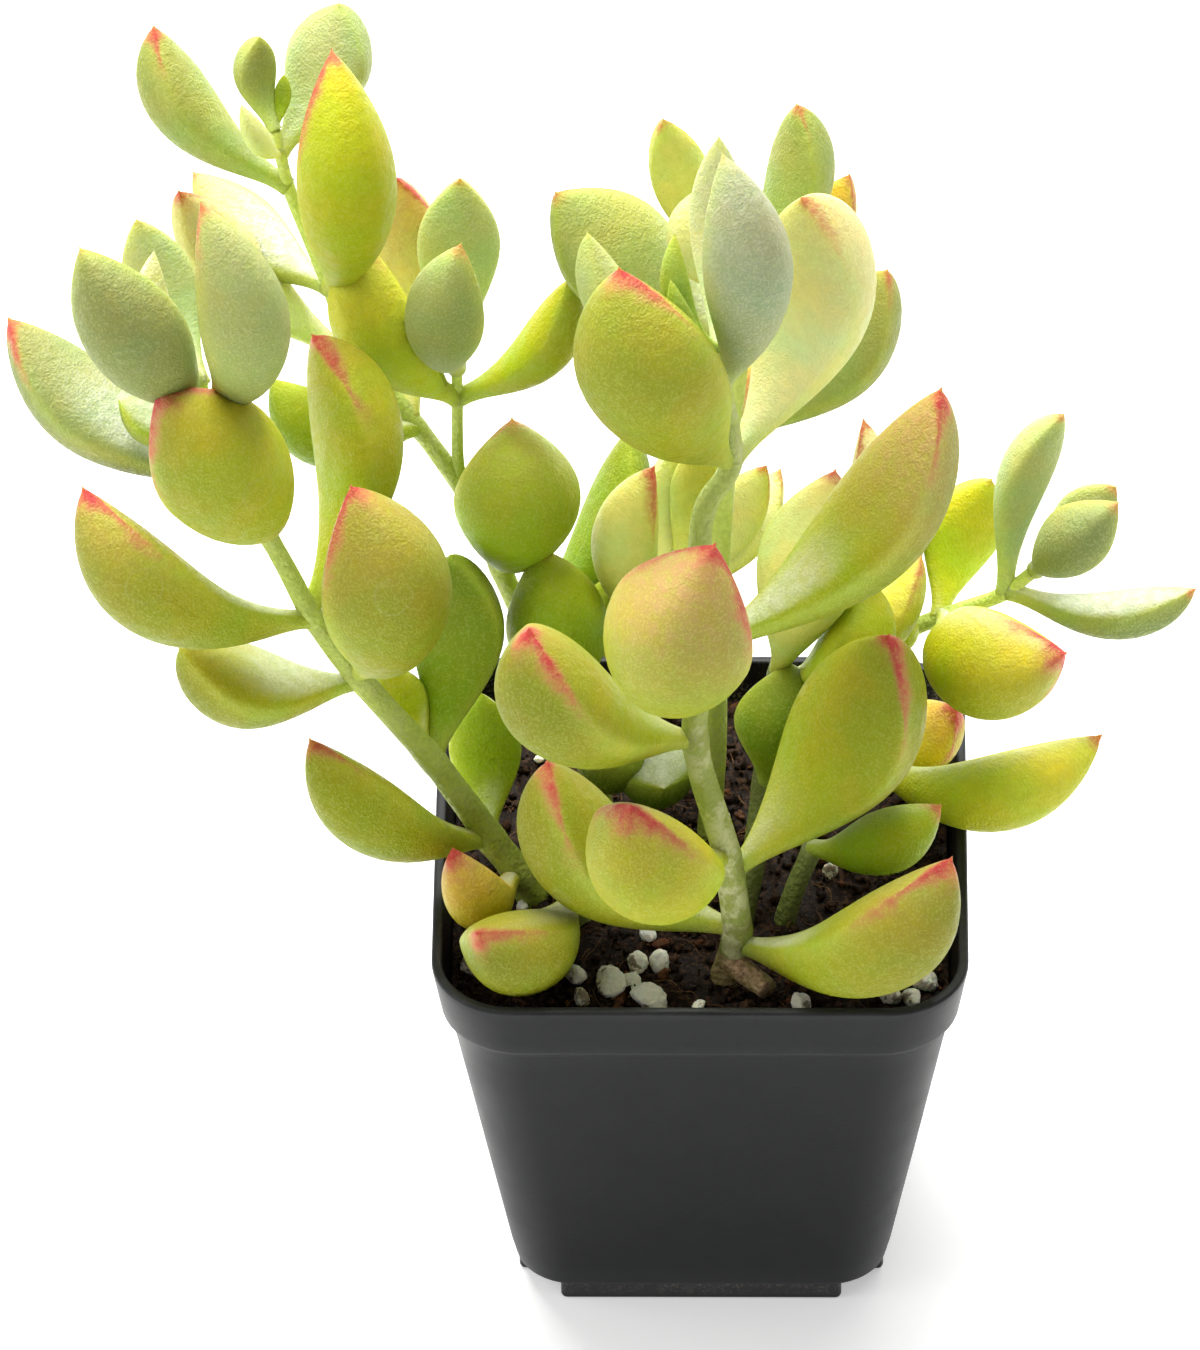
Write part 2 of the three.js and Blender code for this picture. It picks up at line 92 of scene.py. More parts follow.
# Form shared by every leaf and stem.
PETIOLE_HALF = 1.15
UPPER_SHARE = 0.3
BODY_END = 0.985
TIP_HALF = 0.16
STEM_TAPER = 0.75

# How far the leaves stay inside the solids' box.
BOX_MARGIN = 0.03

Colour = tuple[float, float, float, float]
Point = tuple[float, float, float]
Material = bpy.types.Material
Socket = bpy.types.NodeSocket


class Tone(Enum):
    """Body colour of a leaf, linear RGB: its wax and its age, with painted light and shade built in: leaves
    that light shines through get brighter tones, leaves lying in shade darker ones.
    """

    WAXEN = (0.28, 0.36, 0.25)
    CHALKY = (0.83, 0.88, 0.80)
    SNOWY = (0.96, 1.0, 0.84)
    MISTY = (0.25, 0.32, 0.12)
    FROSTY = (0.49, 0.61, 0.34)
    GLAUCOUS = (0.34, 0.44, 0.16)
    SAGE = (0.38, 0.43, 0.020)
    PALE = (0.37, 0.46, 0.16)
    BRIGHT = (0.81, 0.89, 0.46)
    MILKY = (0.79, 0.84, 0.58)
    FRESH = (0.43, 0.60, 0.18)
    SPRING = (0.45, 0.52, 0.002)
    LIME = (0.335, 0.380, 0.001)
    GLOWING = (0.66, 0.75, 0.040)
    MOSSY = (0.22, 0.33, 0.001)
    GREEN = (0.34, 0.49, 0.001)
    DEEP = (0.18, 0.29, 0.001)
    YELLOW = (0.41, 0.465, 0.001)
    SUNNY = (0.53, 0.585, 0.001)
    GOLDEN = (0.84, 0.67, 0.060)
    OCHRE = (0.68, 0.50, 0.004)
    PEACH = (0.82, 0.77, 0.42)
    RUSSET = (0.48, 0.25, 0.09)


# Wax on a leaf of that tone, whitest on upward faces as painted sheen from the light above, and the share of
# it that also covers the rest.
WAX_AND_SHEEN = {
    Tone.WAXEN: (0.36, 0.5), Tone.CHALKY: (0.5, 0.6), Tone.SNOWY: (0.3, 0.3), Tone.FROSTY: (0.34, 0.35),
    Tone.MISTY: (0.16, 0.3), Tone.GLAUCOUS: (0.34, 0.25), Tone.SAGE: (0.28, 0.0), Tone.PALE: (0.26, 0.1),
    Tone.MILKY: (0.24, 0.3),
}
# The same on leaves of every other tone, where it whitens only upward faces as painted sheen.
THIN_WAX_AND_SHEEN = (0.12, 0.0)


class Edge(Enum):
    """Which margin of a leaf carries its red streak, seen along the leaf with its upper face up."""

    NONE = 0
    RIGHT = 1
    LEFT = -1
    BOTH = 2


@dataclass(frozen=True)
class Leaf:
    """One leaf: its place on the centre line, its form in millimetres and degrees, and its colouring."""

    node: float
    reach: Point
    width: float
    thickness: float
    roll: float
    bow: float
    tone: Tone
    red: float = 0.5
    edge: Edge = Edge.NONE
    run: float = 0.25
    blush: float = 0.0


@dataclass(frozen=True)
class Shoot:
    """A stretch of stem: centre line points, radii at foot and top, and the leaves on it."""

    line: tuple[Point, ...]
    radii: tuple[float, float]
    leaves: tuple[Leaf, ...] = ()
    woody: float = 0.0
    waxy: float = 0.3
    # Brightness of the bark, painted light and shade: raised on stems standing in open light, lowered on the
    # low stems under the leaves.
    light: float = 1.0
    rooted: bool = True


T, E = Tone, Edge

SHOOTS: dict[str, tuple[Shoot, ...]] = {
    "stem_front": (
        Shoot(
            ((3, -18.5, 48.5), (4, -18.5, 53), (3, -19, 67), (-0.5, -19, 84), (0.5, -18, 96.5),
             (0.5, -15, 114), (3.5, -14, 120), (2.5, -12.5, 130), (2, -12, 134.5)),
            (2.2, 1.05),
            (
                Leaf(1, (24, -7, 20), 15, 11.5, -35, 0.13, T.LIME, 0.95, E.RIGHT, 0.38, 0.25),
                Leaf(1.2, (-21, 3, 23), 15, 11.5, 10, 0.13, T.LIME, 0.85, E.LEFT, 0.38, 0.05),
                Leaf(1.8, (17.5, 9, 28), 16.5, 12.5, 15, 0.13, T.SAGE, 1.0, E.RIGHT, 0.34),
                Leaf(2, (-10.5, -13.5, 20), 16.5, 12.5, -5, 0.12, T.SUNNY, 1.0, E.BOTH, 0.28, 0.4),
                Leaf(3, (-18, -7, 23), 17, 12.5, -5, 0.1, T.LIME, 1.0, E.LEFT, 0.34, 0.15),
                Leaf(4, (1.5, -15, 29), 17.5, 13.5, -30, 0.2, T.YELLOW, 1.0, E.BOTH, 0.42, 1.0),
                Leaf(4, (26, 15, 25.5), 14, 11, 0, 0.13, T.LIME, 1.0, E.RIGHT, 0.24, 0.7),
                Leaf(6, (-12, -4, 31.5), 18, 13, 35, 0.07, T.SAGE, 0.95, E.LEFT, 0.26, 0.1),
                Leaf(6, (7.5, 9.5, 30), 14, 12.5, -20, 0.2, T.MILKY, 0.55, E.RIGHT, 0.26, 0.35),
                Leaf(7, (0, 1, 32), 10.5, 8.5, -10, 0.13, T.WAXEN, 0.4, E.NONE, 0.25, 0.15),
                Leaf(7, (-14.5, 5, 17.5), 7, 5.5, 0, 0.13, T.FROSTY, 0.2),
                Leaf(7.6, (0, 11, 23), 6.5, 5, 20, 0.13, T.CHALKY, 0.0),
                Leaf(8, (-4.5, -1, 17.5), 4, 3, 0, 0.13, T.FRESH, 0.0),
                Leaf(8, (-5, -4.5, 14), 3, 2.5, 10, 0.13, T.FRESH, 0.0),
            ),
            woody=4.5, waxy=1.0, light=1.2,
        ),
        Shoot(((3, -18.5, 51.2), (5.2, -21, 51), (7.6, -23.4, 50.7)), (1.7, 1.35), woody=30.0,
              waxy=0.2, rooted=False),
    ),
    "stem_centre": (
        Shoot(
            ((1, 5, 48.5), (1.5, 5, 60), (2, 5.5, 83.5), (3.2, 6, 106.5), (4.5, 7, 118.5), (4, 8, 126)),
            (1.8, 0.9),
            (
                Leaf(3, (17.5, 8.5, 17.5), 11.5, 8.5, 10, 0.14, T.PALE, 0.55, E.RIGHT, 0.15),
                Leaf(3, (3.5, 8.5, 4.5), 3, 2.5, 20, 0.13, T.RUSSET, 0.0),
                Leaf(4, (-20.5, 8, 16), 13.5, 10, -40, 0.11, T.PALE, 0.6, E.RIGHT, 0.12),
                Leaf(4, (12, 10, 17), 7.5, 6, 25, 0.12, T.GOLDEN, 0.7, E.BOTH, 0.3, 0.3),
                Leaf(5, (6.5, 7, 21), 9, 7, 5, 0.13, T.PALE, 0.65, E.BOTH, 0.14),
                Leaf(5, (-8, 5, 20.5), 7, 5.5, -45, 0.12, T.BRIGHT, 0.6, E.BOTH, 0.12),
                Leaf(5, (-3.5, 0, 15), 7.5, 6, -10, 0.13, T.MILKY, 0.3),
            ),
            waxy=0.25, light=1.9,
        ),
    ),
    "stem_left": (
        Shoot(
            ((-19, -5.5, 48.5), (-23.5, -5, 56.5), (-29, -6, 68), (-37.5, -8, 83), (-42.5, -9, 93),
             (-47, -10, 105.5), (-51.5, -10, 115.5), (-53.5, -10, 122), (-54, -10, 128.5)),
            (2.3, 0.7),
            (
                Leaf(0.45, (-7, -8, 11), 7.5, 7, -20, 0.26, T.OCHRE, 0.95, E.RIGHT, 0.5, 0.5),
                Leaf(1, (-20, -5.5, 20.5), 11.5, 8.5, 25, 0.11, T.LIME, 0.85, E.BOTH, 0.22),
                Leaf(1.05, (-1, 11, 12), 8.5, 6.5, 30, 0.13, T.GREEN, 0.1),
                Leaf(2.1, (2, 9.5, 22.5), 11.5, 8.5, 25, 0.12, T.MOSSY, 0.1),
                Leaf(2.2, (-5, 6, 7.5), 6, 4.5, 0, 0.13, T.SPRING, 0.1),
                Leaf(3.1, (0, -4.5, 32), 16, 12.5, -45, 0.15, T.LIME, 1.0, E.RIGHT, 0.32, 0.3),
                Leaf(3, (-20, -4, 8.5), 11.5, 8.5, 0, 0.12, T.LIME, 0.1),
                Leaf(4, (-25, -1, 20.5), 13.5, 10, 55, 0.15, T.LIME, 1.0, E.LEFT, 0.34, 0.3),
                Leaf(4.1, (0.5, 11, 31), 12.5, 10, -15, 0.14, T.SPRING, 1.0, E.RIGHT, 0.32, 0.1),
                Leaf(5.1, (-11, -9, 28.5), 15.5, 12.5, 25, 0.11, T.YELLOW, 1.0, E.BOTH, 0.34, 0.1),
                Leaf(5.8, (-25, 13, 13), 11, 8.5, 15, 0.12, T.MISTY, 0.9, E.LEFT, 0.25),
                Leaf(7.4, (-12.5, -6, 28), 11.5, 8.5, 70, 0.1, T.MISTY, 0.4),
                Leaf(7.4, (0.5, -4, 32.5), 10.5, 9, 10, 0.2, T.GLAUCOUS, 0.75, E.RIGHT, 0.2, 0.15),
                Leaf(7.9, (-7, 9, 16), 8, 6, -20, 0.13, T.FROSTY, 0.3),
                Leaf(8, (-4.5, 0, 18.5), 5, 4, 45, 0.13, T.CHALKY, 0.0),
                Leaf(6.9, (-10, 4, 1), 6, 4.5, 0, 0.13, T.DEEP, 0.0),
            ),
            waxy=0.25, light=1.6,
        ),
    ),
    "stem_back_left": (
        Shoot(
            ((-11.5, 10.5, 48.5), (-16.5, 12, 64), (-22.5, 14, 80.5), (-26.5, 15, 91), (-31.5, 16, 99.5),
             (-35.5, 17, 105), (-38.5, 17, 108.5), (-41, 18, 118), (-45.2, 18, 132.5), (-46, 18, 137.5),
             (-46.5, 18, 140.5)),
            (1.7, 0.6),
            (
                Leaf(1, (-1.5, -4, 25), 12, 9.5, -25, 0.13, T.GREEN, 0.5, E.BOTH, 0.1),
                Leaf(1.5, (11.5, 12, 19.5), 8.5, 7, 0, 0.1, T.MOSSY, 0.3),
                Leaf(2, (1.5, 1, 21.5), 15, 10.5, -65, 0.18, T.GREEN, 0.6, E.BOTH, 0.2, 0.3),
                Leaf(4.2, (-1.5, 12, 25), 10, 7, 60, 0.18, T.PEACH, 0.9, E.BOTH, 0.5, 1.0),
                Leaf(4, (-16, -5, 11.5), 10.5, 8, 10, 0.13, T.GREEN, 0.2),
                Leaf(6, (-19, 3, 22), 9, 7, -20, 0.12, T.MILKY, 0.9, E.RIGHT, 0.35, 0.6),
                Leaf(7, (1, -2.5, 36.5), 11.5, 9, -52, 0.19, T.SUNNY, 1.0, E.RIGHT, 0.42),
                Leaf(7, (-15.5, 12.5, 6.5), 8.5, 6.5, 0, 0.1, T.PALE, 0.6, E.RIGHT, 0.25, 0.4),
                Leaf(8, (-14.5, 5.5, 18.5), 9, 7.5, 25, 0.1, T.PALE, 0.9, E.BOTH, 0.2),
                Leaf(9, (6.5, 7.5, 15), 10.5, 8, 15, 0.13, T.FROSTY, 0.0),
                Leaf(8.9, (-4, -4.5, 11), 3, 2.5, 25, 0.13, T.SNOWY, 0.0),
                Leaf(10, (-1.5, 3.5, 10.5), 5.5, 4, 50, 0.14, T.GLAUCOUS, 0.1),
                Leaf(10, (1, 3, 5.5), 2, 1.6, 15, 0.13, T.MOSSY, 0.2, E.BOTH, 0.3),
            ),
            waxy=0.5, light=1.8,
        ),
        Shoot(
            ((-26.5, 15, 91), (-27, 15, 95), (-27, 15, 104.5), (-27, 15, 109)),
            (0.8, 0.65),
            (
                Leaf(2, (-10.5, 1, 23.5), 11.5, 8.5, 55, 0.13, T.GLOWING, 0.85, E.BOTH, 0.16, 0.15),
                Leaf(2, (12.5, 0, 17.5), 8.5, 6.5, -5, 0.11, T.SPRING, 0.3),
                Leaf(3, (1, -7, 24), 9.5, 7, -35, 0.13, T.GLAUCOUS, 0.6, E.BOTH, 0.07),
                Leaf(3, (0.5, 9, 20), 9.5, 7, 5, 0.12, T.FROSTY, 0.5, E.BOTH, 0.07),
                Leaf(2.1, (-2.5, -1, 6.5), 3, 2.4, 0, 0.1, T.YELLOW, 0.0),
            ),
            waxy=0.1, light=1.7,
            rooted=False,
        ),
    ),
    "stem_middle": (
        Shoot(
            ((-6, 12, 48.5), (-6, 12, 62.5), (-4.5, 12, 71.5), (-2.5, 12, 77.5)),
            (2, 1.2),
            (
                Leaf(2.8, (0.5, 8, 18), 5.5, 4.5, -15, 0.13, T.SNOWY, 0.3),
                Leaf(2, (-0.5, -0.5, 26.5), 10, 7, 20, 0.12, T.BRIGHT, 0.9, E.LEFT, 0.3),
                Leaf(3, (3, 4.5, 19.5), 7, 5, -50, 0.14, T.BRIGHT, 0.1),
                Leaf(3, (9, 14, 6.5), 6, 4.5, 10, 0.13, T.RUSSET, 0.5, E.BOTH, 0.5, 0.8),
                Leaf(2.7, (10.5, 5.5, 17), 6.5, 4.5, 15, 0.13, T.SNOWY, 0.7, E.BOTH, 0.25, 0.1),
                Leaf(3, (11.5, 10.5, 10.5), 6.5, 4.5, -10, 0.13, T.SNOWY, 0.6, E.BOTH, 0.25, 0.1),
                Leaf(1.3, (-4.5, 0.5, 15), 6.5, 4.5, 0, 0.13, T.GREEN, 0.1),
                Leaf(0.8, (-6, -9, 1), 8.5, 7, 0, 0.12, T.DEEP, 0.0),
                Leaf(0.8, (2, -10.5, -1.5), 10, 7.5, 0, 0.12, T.DEEP, 0.0),
            ),
        ),
    ),
    "stem_right_middle": (
        Shoot(
            ((4.5, -9.5, 48.5), (5.5, -8, 53), (7, -2, 62), (8, 2, 71.5), (9.5, 5, 78)),
            (1.9, 1.1),
            (
                Leaf(2, (3, 5, 14.3), 13, 8, 0, 0.1, T.DEEP, 0.0),
                Leaf(3, (11, 4.5, 14), 13, 8, 0, 0.1, T.GLOWING, 0.2),
                Leaf(3.2, (16.5, 10.5, 10.5), 8, 5.5, 0, 0.13, T.GLOWING, 0.6, E.RIGHT, 0.35, 0.4),
                Leaf(3.4, (6.5, 7, 24.5), 12.5, 9.5, -15, 0.11, T.BRIGHT, 0.9, E.LEFT, 0.2, 0.15),
                Leaf(4, (8.5, 10, 24), 8.5, 6, 0, 0.13, T.SNOWY, 0.9, E.BOTH, 0.25, 0.3),
            ),
            waxy=0.1, light=0.5,
        ),
    ),
    "stem_right": (
        Shoot(
            ((17, 9.5, 48.5), (18, 10, 54), (21.5, 13.5, 69.5), (28, 12.5, 75), (34, 11.5, 79),
             (37.5, 11.5, 82.5)),
            (1.6, 0.75),
            (
                Leaf(1.1, (27, -7.5, 10.5), 10.5, 8.5, -50, 0.17, T.GLOWING, 0.85, E.LEFT, 0.22, 0.15),
                Leaf(0.9, (11, 2, 8), 8.5, 6.5, 35, 0.13, T.GOLDEN, 0.9, E.RIGHT, 0.45, 0.5),
                Leaf(2, (4.5, 4.5, 15), 5.5, 4.5, -5, 0.13, T.GLOWING, 0.2),
                Leaf(1.9, (3, -1, 7), 3.5, 2.5, 0, 0.13, T.SUNNY, 0.0),
                Leaf(2.8, (6, 8.5, 13.5), 9.5, 6.5, -35, 0.12, T.GLOWING, 0.4),
                Leaf(2.9, (13.5, -18.5, 11), 14, 11, -10, 0.15, T.SUNNY, 1.0, E.BOTH, 0.26, 0.15),
                Leaf(4, (6.5, 3, 24), 7, 5.5, -35, 0.08, T.FROSTY, 0.6, E.RIGHT, 0.15),
                Leaf(4.1, (21, -4, 4), 7.5, 5.5, -5, 0.11, T.MISTY, 0.6, E.LEFT, 0.1),
                Leaf(5, (9, 5, 8), 6.5, 5, -10, 0.13, T.GLAUCOUS, 0.5, E.BOTH, 0.1),
                Leaf(5, (9, -5, 14.5), 8, 6, 10, 0.13, T.MISTY, 0.5, E.BOTH, 0.08),
            ),
            light=1.7,
        ),
    ),
    "stem_low_right": (
        Shoot(
            ((9.5, -9.5, 48.5), (12.5, -8, 58)),
            (1.5, 1.2),
            (
                Leaf(1, (14.5, -3, 9.5), 8.5, 6.5, -60, 0.12, T.GREEN, 0.7, E.BOTH, 0.1),
            ),
            waxy=0.1, light=0.6,
        ),
    ),
    "stem_low_left": (
        Shoot(
            ((-13.5, -9.5, 48.5), (-14, -10.5, 54)),
            (1.4, 1.2),
            (
                Leaf(0.8, (-11, -17, 10), 13.5, 10, 30, 0.1, T.LIME, 0.8, E.LEFT, 0.34, 0.1),
            ),
        ),
    ),
}


def unit(v: np.ndarray) -> np.ndarray:
    """Gives a vector, or each row of an array, at length one."""
    return v / np.maximum(np.linalg.norm(v, axis=-1, keepdims=True), 1e-12)


def ease(x: np.ndarray | float, low: float, high: float) -> np.ndarray:
    """Rises smoothly from 0 at low to 1 at high.

    Args:
        x: Values to map.
        low: Where the rise starts.
        high: Where the rise ends.

    Returns:
        The eased values.
    """
    t = np.clip((np.asarray(x, float) - low) / (high - low), 0.0, 1.0)
    return t * t * (3 - 2 * t)


class CentreLine:
    """A smooth line through given points, spaced by the root of their distances."""

    def __init__(self, points: list[Point]) -> None:
        """Keeps the points the line runs through.

        Args:
            points: Places in millimetres, foot first.
        """
        self.points = [np.array(p, float) for p in points]
        self.spans = len(points) - 1

    def at(self, share: float) -> np.ndarray:
        """Finds the place at a share of the line.

        Args:
            share: From 0 at the foot to 1 at the top.

        Returns:
            The place in millimetres.
        """
        last = len(self.points) - 1
        place = last * share
        i = int(math.floor(place))
        w = place - i
        if w == 0 and i == last:
            i, w = last - 1, 1.0
        p1, p2 = self.points[i], self.points[i + 1]
        p0 = self.points[i - 1] if i > 0 else 2 * self.points[0] - self.points[1]
        p3 = self.points[i + 2] if i + 2 <= last else 2 * self.points[last] - self.points[last - 1]
        pairs = ((p0, p1), (p1, p2), (p2, p3))
        d0, d1, d2 = (max(1e-4, float(np.dot(b - a, b - a)) ** 0.25) for a, b in pairs)
        t1 = ((p1 - p0) / d0 - (p2 - p0) / (d0 + d1) + (p2 - p1) / d1) * d1
        t2 = ((p2 - p1) / d1 - (p3 - p1) / (d1 + d2) + (p3 - p2) / d2) * d1
        square = -3 * p1 + 3 * p2 - 2 * t1 - t2
        cube = 2 * p1 - 2 * p2 + t1 + t2
        return p1 + t1 * w + square * w * w + cube * w ** 3

    def direction(self, share: float) -> np.ndarray:
        """Finds the direction of growth at a share of the line."""
        step = 1e-4
        return unit(self.at(min(1.0, share + step)) - self.at(max(0.0, share - step)))


def ring_faces(steps: int, sides: int) -> list[tuple[int, ...]]:
    """Lists the faces between closed rings of equal count.

    Args:
        steps: Number of rings.
        sides: Vertices in each ring.

    Returns:
        Corner indices of each face.
    """
    faces: list[tuple[int, ...]] = []
    for i in range(steps - 1):
        for j in range(sides):
            k = (j + 1) % sides
            faces.append((i * sides + j, i * sides + k, (i + 1) * sides + k, (i + 1) * sides + j))
    return faces


@dataclass
class Skin:
    """Vertices, faces and per-vertex values of a surface while it is put together."""

    places: list[np.ndarray] = field(default_factory=list)
    faces: list[tuple[int, ...]] = field(default_factory=list)
    values: dict[str, list[np.ndarray]] = field(default_factory=dict)
    count: int = 0

    def add(self, places: np.ndarray, faces: list[tuple[int, ...]], **values: np.ndarray) -> None:
        """Adds a patch of surface.

        Args:
            places: Vertex places in millimetres.
            faces: Corner indices within the patch.
            values: A colour of four numbers at each vertex, by attribute name.
        """
        self.faces += [tuple(i + self.count for i in f) for f in faces]
        self.places.append(places)
        self.count += len(places)
        for name, value in values.items():
            self.values.setdefault(name, []).append(value)

    def rings(self, rings: np.ndarray, first: np.ndarray, last: np.ndarray, **values: np.ndarray) -> None:
        """Adds a closed skin through rings of equal count, pinched to a point at each end.

        Args:
            rings: Array of ring, vertex and axis.
            first: End point before the first ring.
            last: End point past the last ring.
            values: A colour of four numbers for each ring vertex, by attribute name.
        """
        steps, sides = rings.shape[:2]
        faces = ring_faces(steps, sides)
        a, b = steps * sides, steps * sides + 1
        for j in range(sides):
            k = (j + 1) % sides
            faces.append((a, k, j))
            faces.append((b, (steps - 1) * sides + j, (steps - 1) * sides + k))
        places = np.concatenate([rings.reshape(-1, 3), first[None], last[None]])
        full = {}
        for name, value in values.items():
            flat = value.reshape(-1, 4)
            full[name] = np.concatenate([flat, flat[:1], flat[-1:]])
        self.add(places, faces, **full)

    def make(self, name: str) -> bpy.types.Object:
        """Turns the gathered surface into an object.

        Args:
            name: Name of the piece.

        Returns:
            The new object, smooth shaded, in the scene's collection.
        """
        mesh = bpy.data.meshes.new(name)
        places = np.concatenate(self.places) * MM
        mesh.from_pydata(places.tolist(), [], self.faces)
        mesh.validate()
        mesh.polygons.foreach_set("use_smooth", [True] * len(mesh.polygons))
        for key, parts in self.values.items():
            attribute = mesh.color_attributes.new(key, "FLOAT_COLOR", "POINT")
            attribute.data.foreach_set("color", np.concatenate(parts).astype(np.float32).ravel())
        mesh.update()
        piece = bpy.data.objects.new(name, mesh)
        bpy.context.scene.collection.objects.link(piece)
        return piece


def outward(piece: bpy.types.Object) -> None:
    """Turns a closed mesh's faces outwards when its volume comes out negative."""
    mesh = piece.data
    places = np.empty(len(mesh.vertices) * 3)
    mesh.vertices.foreach_get("co", places)
    places = places.reshape(-1, 3)
    mesh.calc_loop_triangles()
    corners = np.empty(len(mesh.loop_triangles) * 3, int)
    mesh.loop_triangles.foreach_get("vertices", corners)
    a, b, c = (places[corners.reshape(-1, 3)[:, i]] for i in range(3))
    if float(np.einsum("ij,ij->", a, np.cross(b, c))) < 0:
        mesh.flip_normals()


def own(piece: bpy.types.Object, node: str, material: Material) -> None:
    """Dresses a piece and ties it to the frame.

    Args:
        piece: The new object.
        node: The solid that it stands for.
        material: Its finish.
    """
    piece.data.materials.clear()
    piece.data.materials.append(material)
    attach(piece, "root")
    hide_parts(node)
    LOG.info("%s: %d faces, stands for %s", piece.name, len(piece.data.polygons), node)


class NodeSheet:
    """A short way to lay out the nodes of a material or a node group."""

    def __init__(self, tree: bpy.types.NodeTree) -> None:
        """Keeps the tree that the nodes go in."""
        self.tree = tree

    def node(self, kind: str, **settings: object) -> bpy.types.Node:
        """Adds a node.

        Args:
            kind: Node type name without its ShaderNode start.
            settings: Properties of the node.

        Returns:
            The new node.
        """
        made = self.tree.nodes.new("ShaderNode" + kind)
        for key, value in settings.items():
            setattr(made, key, value)
        return made

    def feed(self, socket: Socket, value: object) -> None:
        """Links an output to a socket, or sets the socket's own value."""
        if isinstance(value, Socket):
            self.tree.links.new(value, socket)
        else:
            socket.default_value = value

    def math(self, operation: str, a: object, b: object = 0.0, clamp: bool = False) -> Socket:
        """Adds a Math node with two inputs and gives its result."""
        made = self.node("Math", operation=operation, use_clamp=clamp)
        self.feed(made.inputs[0], a)
        self.feed(made.inputs[1], b)
        return made.outputs[0]

    def times(self, a: object, b: object, clamp: bool = False) -> Socket:
        """Multiplies two values and gives the result."""
        return self.math("MULTIPLY", a, b, clamp)

    def plus(self, a: object, b: object) -> Socket:
        """Adds two values and gives the result."""
        return self.math("ADD", a, b)

    def lean(self, value: object, share: float) -> Socket:
        """Lets a mask sway a value only by a share, and gives the result."""
        made = self.node("Math", operation="MULTIPLY_ADD")
        self.feed(made.inputs[0], value)
        made.inputs[1].default_value = share
        made.inputs[2].default_value = 1.0 - share
        return made.outputs[0]

    def span(
        self, value: object, low: float, high: float, to_low: float = 0.0, to_high: float = 1.0
    ) -> Socket:
        """Maps a value smoothly from one range to another and gives the result."""
        made = self.node("MapRange", interpolation_type="SMOOTHSTEP")
        self.feed(made.inputs["Value"], value)
        made.inputs["From Min"].default_value = low
        made.inputs["From Max"].default_value = high
        made.inputs["To Min"].default_value = to_low
        made.inputs["To Max"].default_value = to_high
        return made.outputs["Result"]

    def blend(self, share: object, a: object, b: object, kind: str = "MIX") -> Socket:
        """Mixes two colours by a share and gives the result."""
        made = self.node("Mix", data_type="RGBA", blend_type=kind)
        self.feed(made.inputs[0], share)
        self.feed(made.inputs[6], a)
        self.feed(made.inputs[7], b)
        return made.outputs[2]

    def tint(self, colour: object, by: Colour) -> Socket:
        """Multiplies one colour by another and gives the result."""
        return self.blend(1.0, colour, by, "MULTIPLY")

    def noise(self, vector: object, scale: object, detail: float = 2.0, rough: float = 0.5) -> Socket:
        """Adds a Noise Texture and gives its factor."""
        made = self.node("TexNoise")
        self.feed(made.inputs["Vector"], vector)
        self.feed(made.inputs["Scale"], scale)
        made.inputs["Detail"].default_value = detail
        made.inputs["Roughness"].default_value = rough
        return made.outputs[0]

    def cells(self, vector: object, scale: object) -> bpy.types.Node:
        """Adds a Voronoi Texture and gives its node."""
        made = self.node("TexVoronoi", feature="F1")
        self.feed(made.inputs["Vector"], vector)
        self.feed(made.inputs["Scale"], scale)
        return made

    def painted(self, name: str) -> Socket:
        """Gives the vertex colour of a name."""
        return self.node("Attribute", attribute_name=name).outputs["Color"]

    def parts(self, colour: object) -> list[Socket]:
        """Splits a colour into its three numbers."""
        made = self.node("SeparateColor")
        self.feed(made.inputs[0], colour)
        return [made.outputs[i] for i in range(3)]


